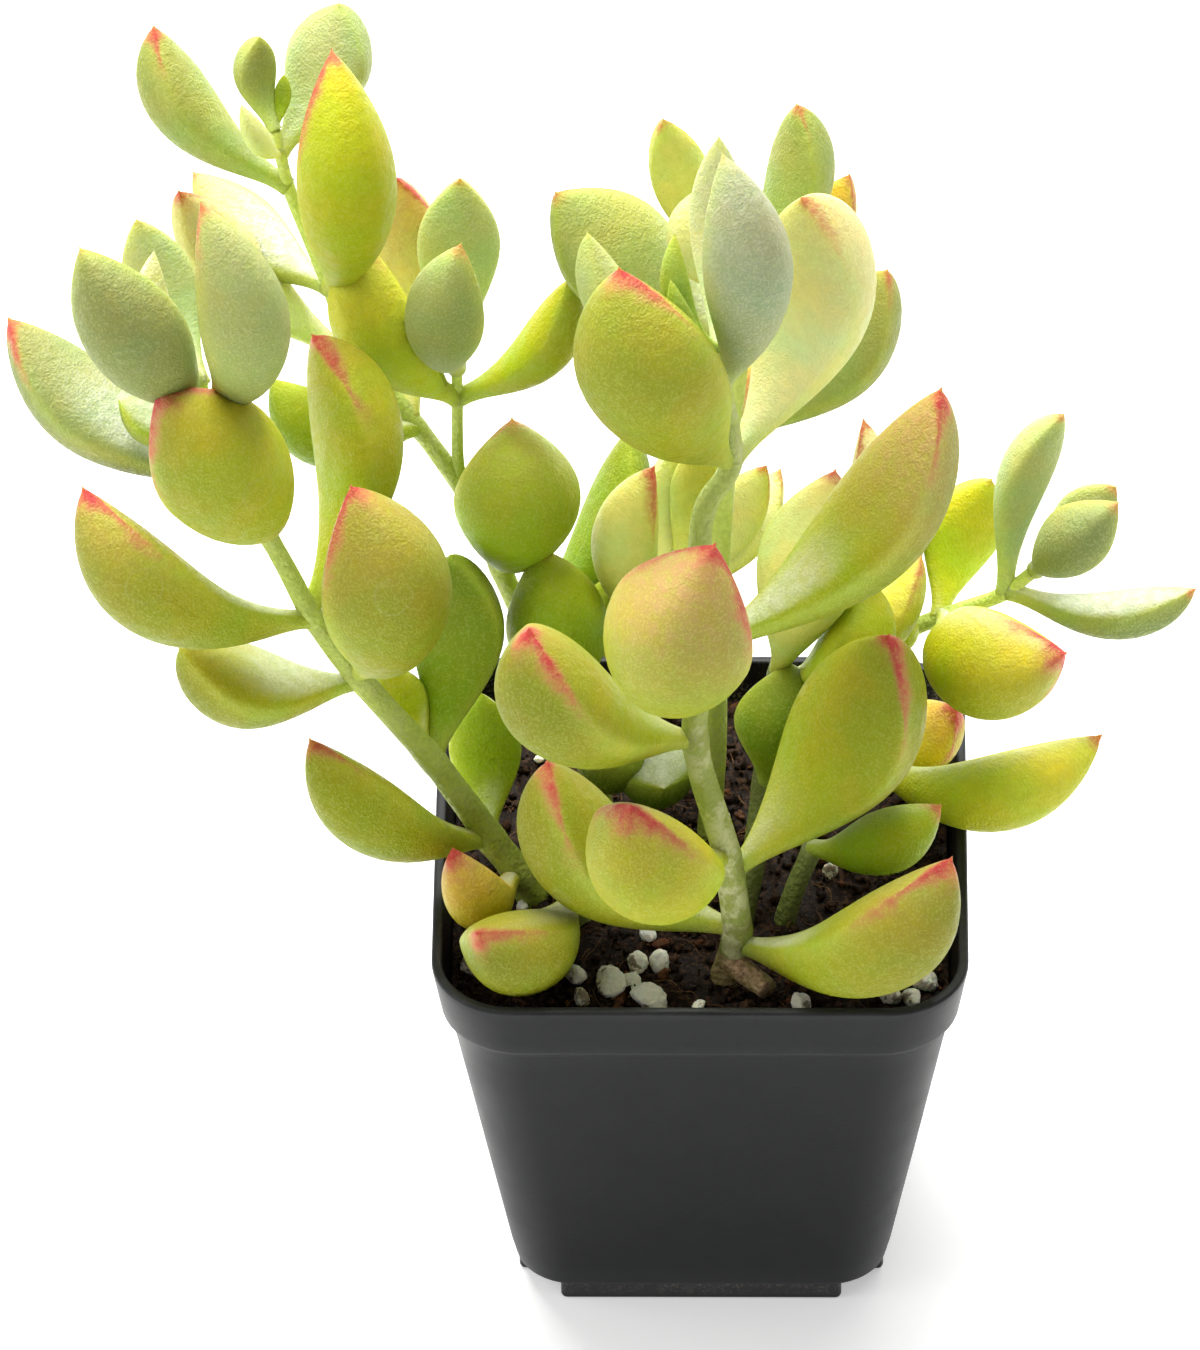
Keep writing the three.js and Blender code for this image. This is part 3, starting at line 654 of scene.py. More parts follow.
class Effects:
    """Shader node groups that several materials use, each built once."""

    def __init__(self) -> None:
        """Builds the groups."""
        self.grain = self._grain()
        self.mottle = self._mottle()
        self.drops = self._drops()

    @staticmethod
    def _start(name: str, inputs: dict[str, float], outputs: list[str]) -> tuple:
        """Opens a node group with a position and float inputs, and float outputs.

        Args:
            name: Name of the group.
            inputs: Each input's name and first value.
            outputs: Names of the outputs.

        Returns:
            The group, its sheet, and the sockets that bring values in and take them out.
        """
        tree = bpy.data.node_groups.new(name, "ShaderNodeTree")
        tree.interface.new_socket("Position", in_out="INPUT", socket_type="NodeSocketVector")
        for key, value in inputs.items():
            made = tree.interface.new_socket(key, in_out="INPUT", socket_type="NodeSocketFloat")
            made.default_value = value
        for key in outputs:
            tree.interface.new_socket(key, in_out="OUTPUT", socket_type="NodeSocketFloat")
        ins, outs = tree.nodes.new("NodeGroupInput"), tree.nodes.new("NodeGroupOutput")
        return tree, NodeSheet(tree), ins.outputs, outs.inputs

    def _grain(self) -> bpy.types.NodeTree:
        """Builds fine granules: a height, and a mask of speckles above a level."""
        values = {"Scale": 2500.0, "Level": 0.5}
        tree, sheet, ins, outs = self._start("fine_grain", values, ["Height", "Specks"])
        pits = sheet.cells(ins["Position"], ins["Scale"]).outputs["Distance"]
        cloud = sheet.noise(ins["Position"], ins["Scale"])
        sheet.feed(outs["Height"], sheet.math("SUBTRACT", cloud, sheet.times(pits, 0.45)))
        above = sheet.math("SUBTRACT", cloud, ins["Level"])
        sheet.feed(outs["Specks"], sheet.times(above, 9.0, clamp=True))
        return tree

    def _mottle(self) -> bpy.types.NodeTree:
        """Builds broad soft patches and the finer clouds inside them."""
        tree, sheet, ins, outs = self._start("soft_mottle", {"Scale": 120.0}, ["Broad", "Fine"])
        broad = sheet.noise(ins["Position"], ins["Scale"])
        fine = sheet.noise(ins["Position"], sheet.times(ins["Scale"], 5.0), detail=4.0)
        sheet.feed(outs["Broad"], sheet.span(broad, 0.3, 0.7))
        sheet.feed(outs["Fine"], sheet.span(fine, 0.3, 0.7))
        return tree

    def _drops(self) -> bpy.types.NodeTree:
        """Builds the thin rings that dried water drops leave here and there."""
        tree, sheet, ins, outs = self._start("drop_marks", {"Scale": 150.0}, ["Ring"])
        wavy = sheet.noise(ins["Position"], sheet.times(ins["Scale"], 2.0))
        cells = sheet.cells(ins["Position"], ins["Scale"])
        distance = sheet.plus(cells.outputs["Distance"], sheet.times(wavy, 0.22))
        off = sheet.math("ABSOLUTE", sheet.math("SUBTRACT", distance, 0.42))
        line = sheet.math("SUBTRACT", 1.0, sheet.times(off, 28.0), clamp=True)
        some = sheet.math("GREATER_THAN", sheet.parts(cells.outputs["Color"])[0], 0.80)
        sheet.feed(outs["Ring"], sheet.times(line, some))
        return tree


def place(sheet: NodeSheet, group: bpy.types.NodeTree, position: object, **inputs: float) -> bpy.types.Node:
    """Sets a node group in a material with its own values.

    Args:
        sheet: The material's sheet.
        group: The node group.
        position: Socket that gives the position.
        inputs: Values of the group's inputs, by name.

    Returns:
        The group's node.
    """
    made = sheet.node("Group")
    made.node_tree = group
    sheet.feed(made.inputs["Position"], position)
    for key, value in inputs.items():
        sheet.feed(made.inputs[key], value)
    return made


def begin(name: str) -> tuple[Material, NodeSheet, bpy.types.Node, Socket]:
    """Opens a material with a Principled shader.

    Args:
        name: Name of the material.

    Returns:
        The material, its sheet, the shader node and the object position socket.
    """
    material = bpy.data.materials.new(name)
    material.use_nodes = True
    sheet = NodeSheet(material.node_tree)
    shader = material.node_tree.nodes["Principled BSDF"]
    return material, sheet, shader, sheet.node("TexCoord").outputs["Object"]


def relief(
    sheet: NodeSheet, shader: bpy.types.Node, height: object, distance: float, strength: float
) -> None:
    """Adds a Bump node and feeds it to the shader's normal."""
    bump = sheet.node("Bump")
    bump.inputs["Strength"].default_value = strength
    bump.inputs["Distance"].default_value = distance
    sheet.feed(bump.inputs["Height"], height)
    sheet.feed(shader.inputs["Normal"], bump.outputs["Normal"])


@dataclass(frozen=True)
class LeafFinish:
    """Juicy skin: a crimson tip that fades through orange into the body, and a thin wax layer, whiter on
    upward faces as painted highlight.
    """

    crimson: Colour = (0.52, 0.045, 0.060, 1.0)
    orange: Colour = (0.57, 0.22, 0.10, 1.0)
    rose: Colour = (0.74, 0.36, 0.25, 1.0)
    wax_and_highlight: Colour = (0.88, 0.90, 0.80, 1.0)
    roughness: tuple[float, float] = (0.40, 0.56)

    def build(self, effects: Effects) -> Material:
        """Builds the material.

        Args:
            effects: The shared node groups.

        Returns:
            The material.
        """
        material, sheet, shader, position = begin("leaf_skin")
        tone = sheet.painted("leaf_tone")
        red, wax_and_highlight, blush = sheet.parts(sheet.painted("leaf_marks"))
        grain = place(sheet, effects.grain, position, Scale=3400.0, Level=0.50)
        mottle = place(sheet, effects.mottle, position, Scale=170.0)
        drops = place(sheet, effects.drops, position, Scale=150.0)
        deeper = sheet.tint(tone, (0.78, 0.84, 0.42, 1.0))
        paler = sheet.blend(0.34, tone, (1.0, 1.0, 0.32, 1.0))
        greener = sheet.tint(tone, (0.86, 1.03, 0.75, 1.0))
        warmer = sheet.tint(tone, (1.06, 0.98, 0.60, 1.0))
        body = sheet.blend(mottle.outputs["Broad"], greener, warmer)
        body = sheet.blend(sheet.times(mottle.outputs["Fine"], 0.38), body, deeper)
        # Pale specks, stronger where the wax, its painted highlight and the blush lie.
        lit = sheet.plus(sheet.times(wax_and_highlight, 0.5), sheet.times(blush, 0.6))
        lit = sheet.math("MINIMUM", sheet.plus(lit, 0.24), 0.50)
        body = sheet.blend(sheet.times(grain.outputs["Specks"], lit), body, paler)
        # Wax whitening, with a painted highlight on upward faces.
        wax = sheet.times(wax_and_highlight, sheet.lean(mottle.outputs["Fine"], 0.4))
        body = sheet.blend(wax, body, self.wax_and_highlight)
        body = sheet.blend(sheet.times(drops.outputs["Ring"], 0.035), body, self.wax_and_highlight)
        specks = sheet.times(grain.outputs["Specks"], -0.30)
        freckle = sheet.plus(specks, sheet.times(mottle.outputs["Fine"], 0.42))
        warm = sheet.times(blush, sheet.plus(freckle, 0.62), clamp=True)
        body = sheet.blend(warm, body, self.rose)
        level = sheet.times(red, sheet.plus(freckle, 0.95))
        body = sheet.blend(sheet.span(level, 0.08, 0.60, 0.0, 0.80), body, self.orange)
        body = sheet.blend(sheet.span(level, 0.34, 1.05, 0.0, 0.92), body, self.crimson)
        sheet.feed(shader.inputs["Base Color"], body)
        rough = sheet.span(mottle.outputs["Fine"], 0.0, 1.0, self.roughness[0], self.roughness[1])
        sheet.feed(shader.inputs["Roughness"], rough)
        shader.inputs["Subsurface Weight"].default_value = 0.35
        shader.inputs["Subsurface Radius"].default_value = (1.0, 1.0, 0.2)
        shader.inputs["Subsurface Scale"].default_value = 0.0035
        shader.inputs["Specular IOR Level"].default_value = 0.16
        height = sheet.plus(grain.outputs["Height"], sheet.times(mottle.outputs["Fine"], 0.7))
        relief(sheet, shader, height, 0.00016, 0.80)
        return material


@dataclass(frozen=True)
class StemFinish:
    """Smooth green bark with wax flakes, brown and woody at the foot."""

    wood: Colour = (0.15, 0.070, 0.035, 1.0)
    wax: Colour = (0.64, 0.65, 0.33, 1.0)
    pale_wood: Colour = (0.46, 0.28, 0.17, 1.0)

    def build(self, effects: Effects) -> Material:
        """Builds the material.

        Args:
            effects: The shared node groups.

        Returns:
            The material.
        """
        material, sheet, shader, position = begin("stem_bark")
        tone = sheet.painted("stem_tone")
        woody, waxy, scar = sheet.parts(sheet.painted("stem_marks"))
        grain = place(sheet, effects.grain, position, Scale=2200.0, Level=0.48)
        mottle = place(sheet, effects.mottle, position, Scale=330.0)
        dark = sheet.tint(tone, (0.62, 0.70, 0.45, 1.0))
        body = sheet.blend(sheet.times(mottle.outputs["Fine"], 0.5), tone, dark)
        cloud = sheet.plus(mottle.outputs["Broad"], sheet.times(mottle.outputs["Fine"], 0.6))
        flakes = sheet.span(cloud, 0.4, 1.3, 0.08, 0.75)
        body = sheet.blend(sheet.times(waxy, flakes), body, self.wax)
        body = sheet.blend(sheet.times(scar, 0.45), body, self.wood)
        brown = sheet.blend(mottle.outputs["Fine"], self.wood, self.pale_wood)
        brown_share = sheet.times(woody, sheet.lean(mottle.outputs["Broad"], 0.3))
        body = sheet.blend(brown_share, body, brown)
        sheet.feed(shader.inputs["Base Color"], body)
        sheet.feed(shader.inputs["Roughness"], sheet.span(mottle.outputs["Broad"], 0.0, 1.0, 0.45, 0.7))
        shader.inputs["Subsurface Weight"].default_value = 0.15
        shader.inputs["Subsurface Radius"].default_value = (0.9, 1.0, 0.3)
        shader.inputs["Subsurface Scale"].default_value = 0.001
        height = sheet.plus(grain.outputs["Height"], sheet.times(mottle.outputs["Fine"], 2.0))
        relief(sheet, shader, height, 0.00015, 0.6)
        return material


@dataclass(frozen=True)
class PotFinish:
    """Moulded black plastic: fine grain, faint scuffs, a paler lip and edges, partly scuffed and partly
    painted highlight.
    """

    base: Colour = (0.0050, 0.0055, 0.0065, 1.0)
    worn_and_highlight: Colour = (0.030, 0.031, 0.032, 1.0)
    dust: Colour = (0.17, 0.15, 0.12, 1.0)

    def build(self, effects: Effects) -> Material:
        """Builds the material.

        Args:
            effects: The shared node groups.

        Returns:
            The material.
        """
        material, sheet, shader, position = begin("pot_plastic")
        lip, inside, _ = sheet.parts(sheet.painted("pot_marks"))
        grain = place(sheet, effects.grain, position, Scale=3200.0, Level=0.5)
        mottle = place(sheet, effects.mottle, position, Scale=38.0)
        body = sheet.blend(sheet.times(mottle.outputs["Fine"], 0.10), self.base, self.worn_and_highlight)
        # Paler lip and edges: scuffs and a painted highlight along the rounded edges.
        wear_and_highlight = sheet.times(lip, sheet.lean(mottle.outputs["Fine"], 0.5))
        body = sheet.blend(wear_and_highlight, body, self.worn_and_highlight)
        dusty = sheet.times(inside, mottle.outputs["Fine"])
        crumbs = sheet.times(grain.outputs["Specks"], dusty)
        body = sheet.blend(sheet.times(crumbs, 0.7), body, self.dust)
        sheet.feed(shader.inputs["Base Color"], body)
        sheet.feed(shader.inputs["Roughness"], sheet.span(mottle.outputs["Fine"], 0.0, 1.0, 0.38, 0.44))
        shader.inputs["Specular IOR Level"].default_value = 0.18
        relief(sheet, shader, grain.outputs["Height"], 0.00003, 0.3)
        return material


@dataclass(frozen=True)
class SoilFinish:
    """Damp dark potting mix with bark, peat and dry fibres told apart by a vertex colour."""

    shade: Colour = (0.45, 0.42, 0.40, 1.0)
    fleck: Colour = (0.13, 0.065, 0.030, 1.0)

    def build(self, effects: Effects) -> Material:
        """Builds the material.

        Args:
            effects: The shared node groups.

        Returns:
            The material.
        """
        material, sheet, shader, position = begin("potting_mix")
        tone = sheet.painted("soil_tone")
        grain = place(sheet, effects.grain, position, Scale=1500.0, Level=0.5)
        mottle = place(sheet, effects.mottle, position, Scale=300.0)
        body = sheet.blend(mottle.outputs["Fine"], tone, sheet.tint(tone, self.shade))
        body = sheet.blend(sheet.times(grain.outputs["Specks"], 0.30), body, self.fleck)
        sheet.feed(shader.inputs["Base Color"], body)
        sheet.feed(shader.inputs["Roughness"], sheet.span(mottle.outputs["Broad"], 0.0, 1.0, 0.6, 0.95))
        shader.inputs["Specular IOR Level"].default_value = 0.15
        relief(sheet, shader, grain.outputs["Height"], 0.0004, 0.9)
        return material


@dataclass(frozen=True)
class PerliteFinish:
    """Puffed white glass: chalky, pitted, dusted with soil."""

    white: Colour = (0.96, 0.94, 0.80, 1.0)
    stained: Colour = (0.66, 0.52, 0.22, 1.0)
    dirt: Colour = (0.16, 0.11, 0.06, 1.0)

    def build(self, effects: Effects) -> Material:
        """Builds the material.

        Args:
            effects: The shared node groups.

        Returns:
            The material.
        """
        material, sheet, shader, position = begin("perlite_chalk")
        grain = place(sheet, effects.grain, position, Scale=1900.0, Level=0.60)
        mottle = place(sheet, effects.mottle, position, Scale=210.0)
        stain = sheet.times(mottle.outputs["Broad"], 0.20)
        body = sheet.blend(stain, self.white, self.stained)
        cloud = sheet.plus(mottle.outputs["Broad"], sheet.times(mottle.outputs["Fine"], 0.7))
        caked = sheet.span(cloud, 1.10, 1.28, 0.0, 0.8)
        body = sheet.blend(caked, body, self.dirt)
        sheet.feed(shader.inputs["Base Color"], body)
        sheet.feed(shader.inputs["Roughness"], sheet.span(mottle.outputs["Fine"], 0.0, 1.0, 0.6, 0.9))
        shader.inputs["Subsurface Weight"].default_value = 0.2
        shader.inputs["Subsurface Scale"].default_value = 0.0008
        relief(sheet, shader, grain.outputs["Height"], 0.0003, 0.8)
        return material


@dataclass
class LeafyStem:
    """A rooted stem with its side shoots and leaves."""

    node: str
    shoots: tuple[Shoot, ...]
    room: tuple[np.ndarray, np.ndarray]
    green: Point = (0.24, 0.29, 0.030)
    tip_green: Point = (0.42, 0.49, 0.12)
    stem_sides: int = 20
    steps_per_span: int = 10
    shrink: float = 0.985
    bark_limit: float = 0.85
    last_station: float = 0.9965
    # Painted shade on the leaves' downward faces and painted light on their upward faces.
    shaded: Point = (0.57, 0.56, 0.10)
    skylit: Point = (1.15, 1.08, 1.10)
    # Painted glow of light shining through the thin leaf margins.
    painted_glow_tone: Point = (0.62, 0.68, 0.15)
    painted_glow_share: float = 0.36
    painted_glow_width: float = 1.5
    neck_tone: Point = (0.46, 0.54, 0.15)
    neck_share: float = 0.55

    def _line(self, shoot: Shoot) -> tuple[CentreLine, float]:
        """Finds a shoot's centre line and how far its nodes shift for the buried foot."""
        points = list(shoot.line)
        if shoot.rooted:
            x, y, z = points[0]
            points.insert(0, (x, y, z - ROOT_DEPTH))
        return CentreLine(points), 1.0 if shoot.rooted else 0.0

    def _stalk(self, skin: Skin, shoot: Shoot) -> None:
        """Sweeps one shoot's bark, a little thicker at each leaf node.

        Args:
            skin: Surface that gathers the bark.
            shoot: The shoot.
        """
        line, shift = self._line(shoot)
        steps = line.spans * self.steps_per_span
        shares = np.linspace(0, 1, steps + 1)
        places = np.array([line.at(s) for s in shares])
        nodes = [line.at(min(1.0, (leaf.node + shift) / line.spans)) for leaf in shoot.leaves]
        normal = np.array([1.0, 0, 0])
        angles = np.linspace(0, 2 * math.pi, self.stem_sides, endpoint=False)
        rings, tones, marks = [], [], []
        for i, (share, p) in enumerate(zip(shares, places)):
            along = unit(places[min(i + 1, steps)] - places[max(i - 1, 0)])
            normal = unit(normal - along * float(normal @ along))
            across = np.cross(along, normal)
            near = min((float(np.linalg.norm(p - n)) for n in nodes), default=99.0)
            radius = shoot.radii[0] + (shoot.radii[1] - shoot.radii[0]) * share ** STEM_TAPER
            radius *= self.shrink * (0.94 + 0.10 * math.exp(-((near / 1.1) ** 2)))
            wave = 1 + 0.03 * np.sin(3 * angles + 0.35 * i) + 0.02 * np.sin(5 * angles - 0.8 * i)
            round_about = np.cos(angles)[:, None] * normal + np.sin(angles)[:, None] * across
            rings.append(p + radius * round_about * wave[:, None])
            height = p[2] - SOIL_LEVEL
            rise = float(ease(share, 0.15, 0.95))
            # The bark's green, scaled by the shoot's painted light and shade.
            tone = shoot.light * (np.array(self.green) * (1 - rise) + np.array(self.tip_green) * rise)
            woody = 1.0 - float(ease(height, shoot.woody * 0.4, shoot.woody + 0.01)) if shoot.woody else 0.0
            scar = math.exp(-(((near - 1.2) / 0.35) ** 2)) * (1 - rise) * 0.7
            tones.append(np.tile([*np.minimum(tone, self.bark_limit), 1.0], (self.stem_sides, 1)))
            mark = np.tile([woody, shoot.waxy, scar, 1.0], (self.stem_sides, 1))
            mark[:, 1] *= np.clip(0.5 + 0.8 * np.sin(angles + 2.0 + 1.6 * np.sin(7 * share)), 0.0, 1.2)
            marks.append(mark)
        layers = {"stem_tone": np.array(tones), "stem_marks": np.array(marks)}
        skin.rings(np.array(rings), places[0], places[-1], **layers)

    def _outline(self, leaf: Leaf, t: np.ndarray) -> tuple[np.ndarray, np.ndarray, np.ndarray]:
        """Works out how far a leaf's skin stands off its middle line.

        Args:
            leaf: The leaf's values.
            t: Shares along the leaf.

        Returns:
            Half width, height above and depth below the line at each share, in millimetres.
        """
        s = np.minimum(1.0, t / BODY_END)
        width = np.maximum(0, np.sin(math.pi * s ** 1.45)) ** 0.85
        upper = np.maximum(0, np.sin(math.pi * s ** 1.45)) ** 0.9
        under = np.maximum(0, np.sin(math.pi * s ** 1.5)) ** 0.7
        petiole = min(PETIOLE_HALF, leaf.width * 0.16)
        stalk = petiole * (1 - t) ** 2 + TIP_HALF * t * (1 - t)
        half = np.hypot(width * leaf.width / 2, stalk) * self.shrink
        high = np.hypot(upper * leaf.thickness * UPPER_SHARE, stalk) * self.shrink
        low = np.hypot(under * leaf.thickness * (1 - UPPER_SHARE), stalk) * self.shrink
        return half, high, low

    def _leaf(self, skin: Skin, base: np.ndarray, up: np.ndarray, leaf: Leaf, index: int) -> None:
        """Builds one plump leaf: narrow at the node, widest past the middle, flatter above, full below.

        Args:
            skin: Surface that gathers the leaves.
            base: Place of its node.
            up: Direction of growth of the stem there.
            leaf: The leaf's values.
            index: Number that varies its small unevenness.
        """
        reach = np.array(leaf.reach, float)
        length = float(np.linalg.norm(reach))
        along = reach / length
        face = unit(up - along * float(up @ along))
        roll = math.radians(leaf.roll)
        face = face * math.cos(roll) + np.cross(along, face) * math.sin(roll)
        side = np.cross(along, face)
        sides = 44 if leaf.width > 11 else 36 if leaf.width > 6.6 else 28
        u = np.linspace(0, 1, sides)
        t = (0.5 - 0.5 * np.cos(math.pi * u)) * 0.35 + u * 0.65
        t = t * self.last_station
        a = np.linspace(0, 2 * math.pi, sides, endpoint=False)
        half, high, low = self._outline(leaf, t)
        slope = -leaf.bow * math.pi * np.cos(math.pi * t)
        ahead = unit(along[None] + face[None] * slope[:, None])
        lift = unit(np.cross(side[None], ahead))
        lift *= np.sign(np.einsum("ij,j->i", lift, face))[:, None]
        sag = leaf.bow * length * np.sin(math.pi * t)
        centre = base + along * (length * t)[:, None] - face * sag[:, None]
        pinch = 0.30 * ease(t, 0.45, 0.95)[:, None]
        sine = np.sin(a)[None]
        bulge = np.sign(sine) * np.abs(sine) ** (1 + pinch)
        deep = np.where(sine > 0, high[:, None], low[:, None])
        tune = index * 1.7
        uneven = 1 - 0.012 * (1 + np.sin(2 * a + tune)[None] * np.sin(7 * t + tune)[:, None])
        uneven -= 0.008 * (1 + np.sin(3 * a - tune)[None] * np.cos(11 * t - tune)[:, None])
        rings = (centre[:, None] + side * (half[:, None] * np.cos(a)[None] * uneven)[..., None]
                 + lift[:, None] * (deep * bulge * uneven)[..., None])
        rings = np.clip(rings, *self.room)
        sideways = side * (np.cos(a)[None] / half[:, None])[..., None]
        normal = unit(sideways + lift[:, None] * (sine / deep)[..., None])
        tone, marks = self._colour(leaf, length, t, a, half, normal, index)
        skin.rings(rings, base, base + reach, leaf_tone=tone, leaf_marks=marks)

    def _colour(self, leaf: Leaf, length: float, t: np.ndarray, a: np.ndarray, half: np.ndarray,
                normal: np.ndarray, index: int) -> tuple[np.ndarray, np.ndarray]:
        """Works out body colour with its painted light and shade, red, wax with its painted highlight, and
        blush at each vertex of a leaf.

        Args:
            leaf: The leaf's values.
            length: From node to tip in millimetres.
            t: Shares along the leaf.
            a: Angles round it.
            half: Half widths along it.
            normal: Direction that the skin faces at each vertex.
            index: Number that varies the colouring.

        Returns:
            The tone and the marks, four numbers at each vertex.
        """
        tt, aa = np.meshgrid(t, a, indexing="ij")
        # Painted shade on downward faces and painted light on upward ones.
        sky = ease(normal[..., 2], -0.75, 0.95)[..., None]
        body = np.array(leaf.tone.value)
        tone = body * (np.array(self.shaded) * (1 - sky) + np.array(self.skylit) * sky)
        sunned = (ease(tt, 0.35, 1.0) * sky[..., 0])[..., None]
        tone = tone * (1 + sunned * np.array([0.20, 0.02, 0.0])) + sunned * np.array([0.02, 0.01, 0.03])
        off = np.arccos(np.clip(np.abs(np.cos(aa)), 0, 1)) * half[:, None]
        # Painted glow: margins paler where light shines through the thin edge.
        rim = (self.painted_glow_share * np.exp(-((off / self.painted_glow_width) ** 2)))[..., None]
        tone = tone * (1 - rim) + np.array(self.painted_glow_tone) * rim
        neck = (self.neck_share * (1 - ease(tt, 0.0, 0.22)))[..., None]
        tone = tone * (1 - neck) + np.array(self.neck_tone) * neck
        wiggle = 0.30 * np.sin(tt * 23 + index) + 0.22 * np.sin(tt * 41 + 2 * index)
        choose = {
            Edge.NONE: 0.0 * aa,
            Edge.BOTH: np.ones_like(aa),
            Edge.RIGHT: (np.cos(aa) > 0) * 1.0,
            Edge.LEFT: (np.cos(aa) < 0) * 1.0,
        }[leaf.edge]
        away = (1 - tt) * length
        fade = np.clip(1 - away / (leaf.run * length * 1.15 + 1.0), 0, 1) ** 1.1
        band = 0.55 + 0.045 * leaf.width + 0.06 * away
        streak = np.exp(-((off / (band * (1 + wiggle))) ** 2)) * fade * choose
        tip = np.exp(-((away / (0.7 + 0.9 * leaf.red)) ** 2))
        cap = np.exp(-((away / (1.2 + 6 * leaf.run)) ** 2)) * 0.32 * leaf.red
        red = leaf.red * np.maximum(np.maximum(streak, tip), cap)
        wax, below = WAX_AND_SHEEN.get(leaf.tone, THIN_WAX_AND_SHEEN)
        level = normal[..., 2]
        # Wax whitening, strongest on upward faces as painted sheen, plus a painted highlight where faces look
        # straight up.
        wax_and_highlight = wax * (below + ease(level, 0.60, 1.0)) + 0.48 * ease(level, 0.72, 0.99)
        blush = leaf.blush * ease(tt, 0.45, 1.0) * (0.20 + 0.80 * sky[..., 0])
        ones = np.ones_like(tt)
        full = np.concatenate([tone, ones[..., None]], axis=-1)
        return full, np.stack([red, wax_and_highlight, blush, ones], axis=-1)

    def build(self, leaf_skin: Material, bark: Material) -> None:
        """Builds the stem's bark and leaves and ties them to the frame.

        Args:
            leaf_skin: Material of the leaves.
            bark: Material of the stems.
        """
        stalks, leaves = Skin(), Skin()
        index = len(self.node)
        for shoot in self.shoots:
            self._stalk(stalks, shoot)
            line, shift = self._line(shoot)
            for leaf in shoot.leaves:
                share = min(1.0, (leaf.node + shift) / line.spans)
                self._leaf(leaves, line.at(share), line.direction(share), leaf, index)
                index += 1
        label = self.node.removeprefix("stem_")
        for skin, kind, material in ((stalks, "bark_", bark), (leaves, "leaves_", leaf_skin)):
            piece = skin.make(kind + label)
            outward(piece)
            own(piece, self.node, material)


def square_ring(half: float, radius: float, z: float, steps: int) -> np.ndarray:
    """Gives a rounded square across the flats, anticlockwise from above.

    Args:
        half: Half width across the flats in millimetres.
        radius: Corner radius.
        z: Height.
        steps: Steps in each corner and along each side.

    Returns:
        The ring's places.
    """
    ring = []
    inner = half - radius
    for q in range(4):
        cx = inner if q in (0, 3) else -inner
        cy = inner if q < 2 else -inner
        corner = [(cx + radius * math.cos((q + k / steps) * math.pi / 2),
                   cy + radius * math.sin((q + k / steps) * math.pi / 2)) for k in range(steps + 1)]
        ring += corner
        nq = (q + 1) % 4
        nx = inner if nq in (0, 3) else -inner
        ny = inner if nq < 2 else -inner
        ex, ey = nx + radius * math.cos(nq * math.pi / 2), ny + radius * math.sin(nq * math.pi / 2)
        sx, sy = corner[-1]
        ring += [(sx + (ex - sx) * k / steps, sy + (ey - sy) * k / steps) for k in range(1, steps)]
    return np.array([(x, y, z) for x, y in ring])


